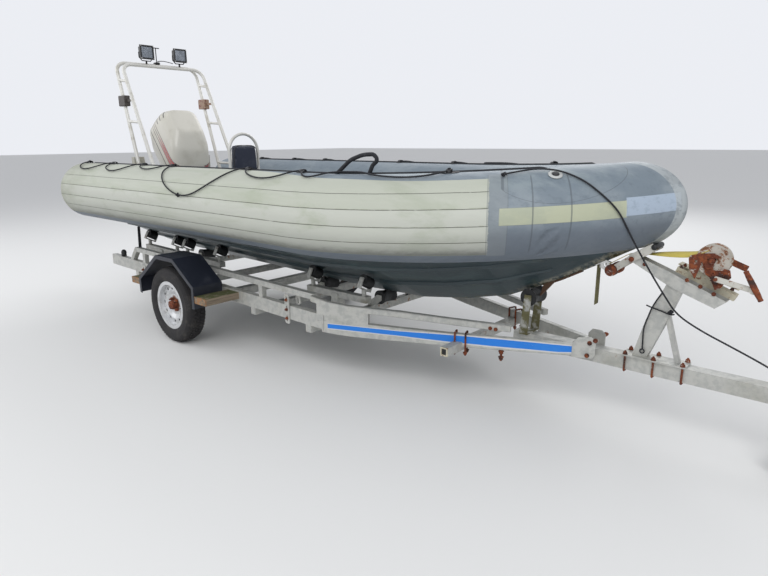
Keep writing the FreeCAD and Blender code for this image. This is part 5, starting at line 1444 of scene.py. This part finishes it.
near = cheek(NEAR_CHEEK, -0.0260, [loop((-0.072, -0.012), 0, 0.006)])
stop = bar(at(3.440, 0.030, 0.930), at(3.530, 0.034, 0.895), 0.005, 0.030)
show("winch_cheek_near", gather("near cheek", [near, stop]), rust, smooth=False)
show("winch_cheek_far", cheek(FAR_CHEEK, 0.0250), cream_paint, smooth=False)
gears = [gear(PINION, -0.036, 16, 0.030, 0.006, 0.012)]
gears.append(turned([(0, -0.040), (0.016, -0.040), (0.020, -0.034), (0.020, -0.024), (0, -0.024)],
                    on_winch((3.384, 0.905)), (0, 1, 0), 20))
gears.append(pin(0.009, -0.047, 0.047, on_winch(DRUM)))
gears.append(pin(0.008, -0.074, 0.042, on_winch(PINION)))
show("winch_gears", gather("gears", gears), rust, smooth=False)
flanges = []
for side in (-1, 1):
    flanges.append(turned([(0.012, 0.0165), (0.060, 0.0165), (0.066, 0.0175), (DRUM_R - 0.002, 0.0205),
                           (DRUM_R, 0.0222), (DRUM_R - 0.003, 0.0222), (0.066, 0.0195), (0.060, 0.0185),
                           (0.012, 0.0185)], on_winch(DRUM), (0, side, 0), 48))
show("winch_flanges", gather("flanges", flanges), drum_zinc)
print("drum", 2 * DRUM_R, "m across")

# %% [markdown]
# The strap is wound on the drum in layers whose edges never line up quite, so the winding is
# turned from an outline that steps in and out. It leaves the drum, lies in the channel and drops
# from its end to the bow eye. It is held taut, so it is a plain strip, a little twisted by its pull.

# %% Strap on the drum and to the eye
layers = [(0.02, 0.016)] + [(0.044 + 0.0022 * i, 0.0158 - 0.0011 * (i * 7 % 3)) for i in range(9)]
profile = [(radius, -wide) for radius, wide in layers] + layers[::-1]
winding = turned(profile, on_winch(DRUM), (0, 1, 0), 40)


def taut_strip(line, wide, thick, twist):
    """A strap pulled straight through a few points, wide across the boat."""
    shape = bmesh.new()
    rows = []
    for i, (point, place) in enumerate(zip(line, np.linspace(0, 1, len(line)))):
        ahead = (line[min(i + 1, len(line) - 1)] - line[max(i - 1, 0)]).normalized()
        turn = twist * math.sin(2 * math.pi * place) if place < 0.5 else 0
        side = Matrix.Rotation(turn, 3, ahead) @ Vector((0, 1, 0))
        over = ahead.cross(side).normalized() * thick / 2
        rows.append([shape.verts.new(point + side * wide / 2 * a + over * b)
                     for a, b in ((-1, -1), (1, -1), (1, 1), (-1, 1))])
    for a, b in zip(rows, rows[1:]):
        for j in range(4):
            k = (j + 1) % 4
            shape.faces.new((a[j], b[j], b[k], a[k]))
    shape.faces.new(rows[0])
    shape.faces.new(rows[-1][::-1])
    face_outward(shape)
    return mesh_of(shape, "strip")


route = [(3.375, 0.972), (3.330, 0.952), (3.293, 0.940), (3.200, 0.931), (3.100, 0.922), (3.018, 0.9142),
         (2.990, 0.896), (2.955, 0.8725), (2.918, 0.848)]
strip = taut_strip(smooth_points([on_winch(point) for point in route]), 0.044, 0.0026, -0.55)
yellow = show("winch_strap_webbing", gather("webbing", [winding, strip]), strap_yellow)
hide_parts("winch_strap")
hook_line = [(2.925, 0.852), (2.913, 0.858), (2.901, 0.856), (2.896, 0.845), (2.900, 0.834), (2.909, 0.832)]
show("strap_hook", rod([on_winch(point) for point in hook_line], 0.0048), bright)
print("strap leaves the drum at", route[0])

# %% Base, crank and snubber
base = [bar(at(3.236, 0, 0.882), at(3.508, 0, 0.793), 0.066, 0.006),
        bar(at(3.232, 0, 0.857), at(3.498, 0, 0.752), 0.053, 0.030)]
base = show("winch_base_plate", gather("base", base), cream_paint, smooth=False)
crank = [bar(at(3.418, -0.066, 0.852), at(3.584, -0.066, 0.8195), 0.008, 0.026, 0.003)]
crank.append(pin(0.016, -0.006, 0.006, on_winch((3.579, 0.821), -0.066), 20))
show("winch_crank", gather("crank", crank), white_paint, smooth=False)
top, low = on_winch((3.542, 0.908), -0.078), on_winch((3.616, 0.782), -0.078)
grip_axis = top - low
half = grip_axis.length
profile = [(0, 0), (0.0095, 0), (0.0115, 0.003), (0.0105, 0.010), (0.0125, 0.030), (0.0135, half * 0.5),
           (0.0122, half - 0.030), (0.0105, half - 0.010), (0.0115, half - 0.003), (0.0095, half), (0, half)]
show("winch_grip", turned(profile, low, grip_axis, 20), rust)
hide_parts("winch")
LOW_END, PIVOT, HIGH_END = (2.944, 0.824), (3.042, 0.895), (3.143, 0.966)
arms, rollers = [], []
for side in (-1, 1):
    y = side * 0.046
    arms.append(bar(on_winch((2.952, 0.830), y), on_winch((3.046, 0.903), y), 0.006, 0.034))
    arms.append(bar(on_winch((3.036, 0.897), y * 1.14), on_winch(HIGH_END, y * 1.14), 0.005, 0.040))
    rollers.append(turned([(0.008, -0.026), (0.024, -0.026), (0.029, -0.022), (0.030, -0.010),
                           (0.027, -0.004), (0.030, 0.004), (0.030, 0.020), (0.026, 0.026), (0.008, 0.026)],
                          on_winch(LOW_END, side * 0.042), (0, 1, 0), 28))
rollers.append(pin(0.008, -0.070, 0.070, on_winch(LOW_END), 14))
rollers.append(pin(0.009, -0.062, 0.062, on_winch(PIVOT), 14))
pad = turned([(0, -0.060), (0.011, -0.060), (0.0145, -0.054), (0.0145, 0.054), (0.011, 0.060), (0, 0.060)],
             on_winch(HIGH_END), (0, 1, 0), 20)
rocker = show("snubber_arms", gather("arms", arms), white_paint, smooth=False)
show("snubber_rollers", gather("rollers", rollers), rust)
show("snubber_pad", pad, roller_black)
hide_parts("snubber")
HITCH_Y = -0.0335
hitch = [(3.262, 0.645), (3.250, 0.6365), (3.207, 0.6497), (3.152, 0.661), (3.128, 0.668)]
hanging = [(3.196, 0.742), (3.161, 0.680), (3.139, 0.598), (3.126, 0.548), (3.128, 0.488), (3.1304, 0.436)]
eye = [(3.1304 + 0.011 * math.cos(turn), 0.4245 + 0.011 * math.sin(turn))
       for turn in (math.pi * i / 6 for i in range(13))]
loops = [rod([on_winch(point, HITCH_Y) for point in points], thick)
         for points, thick in ((hitch, 0.0036), (hanging, 0.0036), (eye, 0.0032))]
show("painter_hitch", gather("hitch", loops), rope_black)
places = []
for side in (-1, 1):
    face = (0, side, 0)
    for x, z in ((3.300, 0.822), (3.420, 0.773), (3.100, 0.873), (3.360, 0.800)):
        places.append((at(x, side * 0.0325, z), face, 0.015))
    places.append((on_winch(DRUM, side * 0.046), face, 0.022))
    places.append((on_winch(PIVOT, side * 0.060), face, 0.020))
for x, z in ((3.268, 0.8775), (3.490, 0.8035)):
    places += [(at(x, y, z), (0.32, 0, 0.95), 0.014) for y in (-0.026, 0.026)]
bolts("winch_bolts", places, rust)
print(len(places), "bolts on the winch and its post")

# %% [markdown]
# ## Road wheels
# A radial tyre has a round sidewall with a fitting line, and a tread of blocks between grooves. The
# carcass is turned from its section and the blocks are grown on it, five staggered rows of them.
# Each piece rides on its own wheel. The nuts hold the rim to the rusty hub drum.

# %% Tyres and nuts
INNER, OUTER = 0.764, 0.919
SECTION = [(0.168, 0.0205), (0.1825, 0.0205), (0.184, 0.012), (0.190, 0.007), (0.194, 0.0075), (0.198, 0.004),
           (0.214, 0.001), (0.2355, 0.0), (0.247, 0.0015), (0.250, 0.0005), (0.253, 0.002), (0.264, 0.0075),
           (0.272, 0.014), (0.280, 0.023), (0.2835, 0.036)]
carcass = SECTION + [(radius, OUTER - INNER - wide) for radius, wide in SECTION[::-1]]


def tread_tree():
    tree, given, end = new_tree("tread", Finish="Material")
    block = put(tree, "GeometryNodeMeshCube", {"Size": (0.0215, 0.0195, 0.0075)})["Mesh"]
    return on_spots(tree, given, block, end)


TREAD = tread_tree()
ROWS = ((0.026, 0.2775, -0.30), (0.052, 0.2850, 0), (0.0775, 0.2850, 0), (0.103, 0.2850, 0),
        (0.129, 0.2775, 0.30))
BLOCKS_ROUND = 64
for side, name in ((-1, "starboard"), (1, "port")):
    body = "wheel_" + name
    centre = at(0, 0, TYRE_R)
    section = [(radius, side * (INNER + wide)) for radius, wide in carcass]
    tyre = show("tyre_body_" + name, turned(section, centre, (0, 1, 0), 96), tyre_rubber, body)
    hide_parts("tyre_" + name)
    rows = []
    for count, (wide, radius, lean) in enumerate(ROWS):
        for i in range(BLOCKS_ROUND):
            turn = 2 * math.pi * (i + 0.5 * (count % 2)) / BLOCKS_ROUND
            out = Vector((math.cos(turn), 0, math.sin(turn)))
            place = centre + out * radius + Vector((0, side * (INNER + wide), 0))
            rows.append((place, out + Vector((0, side * lean, 0)), 1.0))
    grow("tread_" + name, spots(rows), TREAD, body, Finish=tyre_rubber)
    nuts = []
    for i in range(4):
        turn = math.radians(45 + 90 * i)
        nut = at(0.050 * math.cos(turn), side * 0.866, TYRE_R + 0.050 * math.sin(turn))
        nuts.append((nut, (0, side, 0), 0.019))
    bolts("wheel_nuts_" + name, nuts, rust, body, 0.70, 1.4)
    cap = turned([(0, 0.905), (0.010, 0.905), (0.018, 0.902), (0.023, 0.896), (0.0235, 0.880), (0.026, 0.878),
                  (0.026, 0.866), (0, 0.866)], centre, (0, side, 0), 32)
    show("hub_cap_" + name, cap, rust, body)
    valve = turned([(0, 0.0), (0.004, 0.0), (0.004, 0.030), (0.0026, 0.032), (0.0026, 0.038), (0, 0.038)],
                   at(0.155, side * 0.872, TYRE_R), (-0.35, side * 0.9, 0), 12)
    show("tyre_valve_" + name, valve, black_plastic, body)
print(len(ROWS) * BLOCKS_ROUND, "tread blocks a wheel")

# %% [markdown]
# ## Cushion and backrest pad
# Both are foam in stretched vinyl: flat where they rest, crowned where they are free, with a piped
# edge. A remeshed block is blown up a little as cloth, its points are kept within a few millimetres
# of the start, and the piping is laid on afterwards. Cloth gives the pull between the corners that
# no plain bevel has.

# %% Padded pieces
CLOTH_FRAMES = 20


def swollen(mesh, voxel, cap):
    """A closed form, remeshed, filled with a little pressure and smoothed."""
    made = linked("pad", mesh)
    remesh = made.modifiers.new("remesh", "REMESH")
    remesh.mode = "VOXEL"
    remesh.voxel_size = voxel
    made.data = evaluated(made)
    made.modifiers.clear()
    start = [vertex.co.copy() for vertex in made.data.vertices]
    cloth = made.modifiers.new("cloth", "CLOTH")
    cloth.settings.use_pressure = True
    cloth.settings.uniform_pressure_force = 4
    cloth.settings.effector_weights.gravity = 0
    cloth.point_cache.frame_end = CLOTH_FRAMES
    for frame_number in range(1, CLOTH_FRAMES + 1):
        scene.frame_set(frame_number)
    blown = evaluated(made)
    for vertex, target, first in zip(made.data.vertices, blown.vertices, start):
        step = target.co - first
        vertex.co = first + step * min(1, cap / max(step.length, 1e-6))
    bpy.data.meshes.remove(blown)
    made.modifiers.clear()
    scene.frame_set(1)
    smooth = made.modifiers.new("smooth", "SUBSURF")
    smooth.levels = smooth.render_levels = 1
    result = evaluated(made)
    bpy.data.objects.remove(made)
    return result


def pillow(start, end, trim):
    """A bevelled block with its sides pulled in between the corners."""
    low, high = Vector(start), Vector(end)
    middle, reach = (low + high) / 2, (high - low) / 2
    shape = bmesh.new()
    bmesh.ops.create_cube(shape, size=2)
    bmesh.ops.subdivide_edges(shape, edges=shape.edges[:], cuts=9, use_grid_fill=True)
    for vertex in shape.verts:
        across = vertex.co.copy()
        waist = 1 - trim * (1 - across.x ** 2) * abs(across.y) - trim * (1 - across.y ** 2) * abs(across.x)
        place = Vector((across.x * reach.x * waist, across.y * reach.y * waist, across.z * reach.z))
        vertex.co = middle + place
    corners = [edge for edge in shape.edges if edge.calc_face_angle(0) > 0.7]
    bmesh.ops.bevel(shape, geom=corners, offset=0.010, segments=3, affect="EDGES")
    return mesh_of(shape, "pillow")


cushion = swollen(pillow(at(-0.086, -0.171, 1.043), at(0.176, 0.171, 1.108), 0.03), 0.006, 0.010)
for vertex in cushion.vertices:
    vertex.co.z = max(vertex.co.z, 1.0405)
cushion = show("seat_cushion_vinyl", cushion, vinyl_navy)
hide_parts("seat_cushion")
EDGE = [(-0.094, 0), (-0.092, -0.155), (-0.075, -0.178), (0.045, -0.172), (0.165, -0.178), (0.182, -0.155),
        (0.184, 0), (0.182, 0.155), (0.165, 0.178), (0.045, 0.172), (-0.075, 0.178), (-0.092, 0.155)]
piping = [at(x, y * 0.985, 1.096) for x, y in EDGE + EDGE[:1]]
show("seat_cushion_piping", rod(piping, 0.0030), black_plastic)
pad = swollen(pillow(at(-0.234, -0.122, 1.232), at(-0.196, 0.122, 1.448), 0.02), 0.005, 0.007)
for vertex in pad.vertices:
    rise = max(0, vertex.co.z - 1.34) / 0.12
    vertex.co.y *= 1 - 0.075 * rise - 0.02 * rise * rise
pad = show("backrest_pad_vinyl", pad, vinyl_navy)
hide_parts("backrest_pad")
ring = [(-0.118, 1.238), (-0.121, 1.34), (-0.108, 1.440), (0, 1.447), (0.108, 1.440), (0.121, 1.34),
        (0.118, 1.238), (0, 1.232), (-0.118, 1.238)]
for x in (-0.240, -0.190):
    piping = rod([at(x * 0.985, y, z) for y, z in ring], 0.0026)
    show("backrest_piping_%d" % (1000 * abs(x)), piping, black_plastic)
print("cushion", len(cushion.data.vertices), "and pad", len(pad.data.vertices), "points")

# %% [markdown]
# ## Working lamps
# Two square halogen lamps stand on the arch. Each is a cast housing with cooling fins at the back, a
# frame screwed over grey glass, and a bent strap for a foot. The fins are one plate set in a row by
# Geometry Nodes. The glass is a thin ribbed plate; its grey finish stands for the dull reflector behind it.

# %% Lamp housings, glass and mast
def lamp_glass():
    """Dull glass over a reflector, with fine ribs."""
    glass = Finish("lamp glass", (0.16, 0.185, 0.22), 0.12, 0.3, 1.0)
    ribs = glass.axis(1).made("MULTIPLY", 900.0).made("SINE")
    glass.tint(glass.noise(16, detail=4).between(0.45, 0.7), (0.30, 0.33, 0.38))
    glass.relief(ribs, 0.0008)
    return glass.material


def upright_box(start, end, bevel):
    """A rounded block from its two corners."""
    low, high = Vector(start), Vector(end)
    outline = [Vector((low.x, low.y, low.z)), Vector((high.x, low.y, low.z)), Vector((high.x, low.y, high.z)),
               Vector((low.x, low.y, high.z))]
    return board(outline[::-1], high.y - low.y, bevel)


def fin_tree():
    tree, given, end = new_tree("fins", Count="Int", Offset="Vector", Finish="Material")
    line = put(tree, "GeometryNodeMeshLine", {"Count": given["Count"], "Offset": given["Offset"]})[0]
    placed = put(tree, "GeometryNodeInstanceOnPoints", {"Points": line, "Instance": given[0]})[0]
    return realized(tree, placed, given["Finish"], end)


FINS, FIN_COUNT = fin_tree(), 9
LAMP_Y, LAMP_Z, LAMP_BACK, LAMP_FRONT, LAMP_FOOT = 0.165, 2.268, -1.410, -1.362, -1.386
FRAME_OUTLINE = [(-0.065, -0.060), (0.065, -0.060), (0.065, 0.060), (-0.065, 0.060)]
WINDOW = [(-0.052, -0.047), (0.052, -0.047), (0.052, 0.047), (-0.052, 0.047)]
glass_grey = lamp_glass()
housings, feet, panes = [], [], []
for side in (-1, 1):
    middle = side * LAMP_Y
    low, high = at(LAMP_BACK, middle - 0.058, 2.212), at(LAMP_FRONT, middle + 0.058, 2.324)
    housings.append(upright_box(low, high, 0.010))
    place = at(LAMP_FRONT + 0.002, middle, LAMP_Z)
    housings.append(pressed(FRAME_OUTLINE, [WINDOW[::-1]], 0.012, place, (0, 1, 0), (0, 0, 1)))
    low, high = at(LAMP_FRONT, middle - 0.053, 2.220), at(LAMP_FRONT + 0.0035, middle + 0.053, 2.316)
    panes.append(upright_box(low, high, 0.001))
    strap = [at(LAMP_FOOT, middle + out, z)
             for out, z in ((-0.066, LAMP_Z), (-0.066, 2.196), (0.066, 2.196), (0.066, LAMP_Z))]
    feet.append(rod(strap, 0.0045, 2))
    feet.append(pin(0.008, 0, 0.030, at(LAMP_FOOT, middle, 2.168), 14, (0, 0, 1)))
    low, high = at(LAMP_BACK - 0.016, middle - 0.046, 2.225), at(LAMP_BACK + 0.002, middle - 0.043, 2.311)
    grow("lamp_fins_" + ("port" if side > 0 else "starboard"), upright_box(low, high, 0.0008), FINS,
         Count=FIN_COUNT, Offset=(0, 0.0111, 0), Finish=lamp_black)
lamps = show("lamp_housings", gather("housings", housings), lamp_black, smooth=False)
show("lamp_feet", gather("feet", feet), lamp_black)
show("lamp_panes", gather("panes", panes), glass_grey, smooth=False)
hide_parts("floodlights")
cable = [at(-1.505, 0.010, 2.215), at(-1.470, 0.030, 2.222), at(-1.420, 0.090, 2.205),
         at(-1.405, 0.110, 2.196)]
mast = [rod([at(-1.505, 0, 2.186), at(-1.505, 0, 2.334)], 0.0045, 2),
        rod([at(-1.505, -0.036, 2.334), at(-1.505, 0.036, 2.334)], 0.0045, 2),
        upright_box(at(-1.535, -0.020, 2.186), at(-1.475, 0.020, 2.206), 0.004), rod(cable, 0.0035)]
show("arch_mast", gather("mast", mast), black_plastic)
screws = [(at(-1.349, s * LAMP_Y + a * 0.0585, LAMP_Z + b * 0.0535), (1, 0, 0), 0.006)
          for s in (-1, 1) for a in (-1, 1) for b in (-1, 1)]
bolts("lamp_screws", screws, bright, washer=0.7, thread=0.4)
print(FIN_COUNT, "fins on each lamp")

# %% [markdown]
# ## Cowl
# The solid cowl is lofted from a few outlines, so its shoulders show as creases. The real one is
# thin glass-filled plastic that came rounded out of its mould. Its mesh is copied, remeshed and
# relaxed, which rounds every edge alike and stays within a few millimetres of the solid.

# %% Cowl shell
def relaxed(node, voxel, turns):
    """A rounded copy of a solid."""
    made = linked("relaxed", node.data.copy())
    made.matrix_world = node.matrix_world
    remesh = made.modifiers.new("remesh", "REMESH")
    remesh.mode = "VOXEL"
    remesh.voxel_size = voxel
    smooth = made.modifiers.new("smooth", "SMOOTH")
    smooth.factor = 0.5
    smooth.iterations = turns
    result = evaluated(made)
    result.transform(node.matrix_world)
    bpy.data.objects.remove(made)
    return result


shell = show("cowl_shell", relaxed(nodes["outboard_cowl"], 0.008, 70), cowl.material, "engine")
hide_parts("outboard_cowl")
print("cowl", len(shell.data.vertices), "points")

# %% [markdown]
# ## Clamp screws
# Two clamp screws with round pads and tommy bars grip the transom, and through-bolts beside them
# keep the bracket there.

# %% Clamp screws and transom bolts
CLAMP_Y, TRANSOM_FACE = 0.075, -1.349
screws = []
for side in (-1, 1):
    y = side * CLAMP_Y
    foot = at(TRANSOM_FACE, y, 0.960)
    screws.append(pin(0.009, 0, 0.105, foot, 14, (1, 0, 0)))
    shoe = [(0, 0), (0.024, 0), (0.026, 0.004), (0.024, 0.008), (0, 0.008)]
    screws.append(turned(shoe, foot, (1, 0, 0), 24))
    screws.append(rod([at(-1.250, y, 0.915), at(-1.250, y, 1.005)], 0.0045, 2))
show("clamp_screws", gather("clamp screws", screws), engine_grey)
places = [(at(TRANSOM_FACE, side * 0.105, z), (1, 0, 0), 0.016) for side in (-1, 1) for z in (0.905, 1.020)]
bolts("transom_bolts", places, bright)
print("clamp screws and transom bolts")

# %% [markdown]
# ## Small things on the frame
# A cream cap closes each lower rail's rear end, a lump of black rubber sits on one of them, and the
# front cross tube ends in a square mouth on either side.

# %% Small fittings
RAIL_Y = 0.6375
mouth = [(-0.022, -0.024), (0.022, -0.024), (0.022, 0.024), (-0.022, 0.024)]
inner = [(x * 0.80, z * 0.80) for x, z in mouth]
tube_ends = [pressed(mouth, [inner[::-1]], 0.012, at(2.210, side * 0.474, 0.325), (1, 0, 0), (0, 0, 1))
             for side in (-1, 1)]
show("cross_tube_mouths", gather("mouths", tube_ends), cream_paint, smooth=False)
shade = [upright_box(at(2.192, side * 0.4715 - 0.0008, 0.305), at(2.228, side * 0.4715 + 0.0008, 0.345), 0)
         for side in (-1, 1)]
show("cross_tube_shade", gather("shade", shade), roller_black, smooth=False)
caps = [upright_box(at(-1.441, y - 0.0225, 0.383), at(-1.433, y + 0.0225, 0.471), 0.003)
        for y in (-RAIL_Y, RAIL_Y)]
show("rail_end_caps", gather("caps", caps), transom_cream, smooth=False)
lump = turned([(0, 0), (0.019, 0), (0.024, 0.006), (0.021, 0.020), (0.024, 0.034), (0.020, 0.050),
               (0.010, 0.060), (0, 0.062)], at(-1.250, -RAIL_Y, 0.470), (0.05, 0, 1), 20)
show("rubber_stop", lump, roller_black)
print("rail ends, mouths and stop")
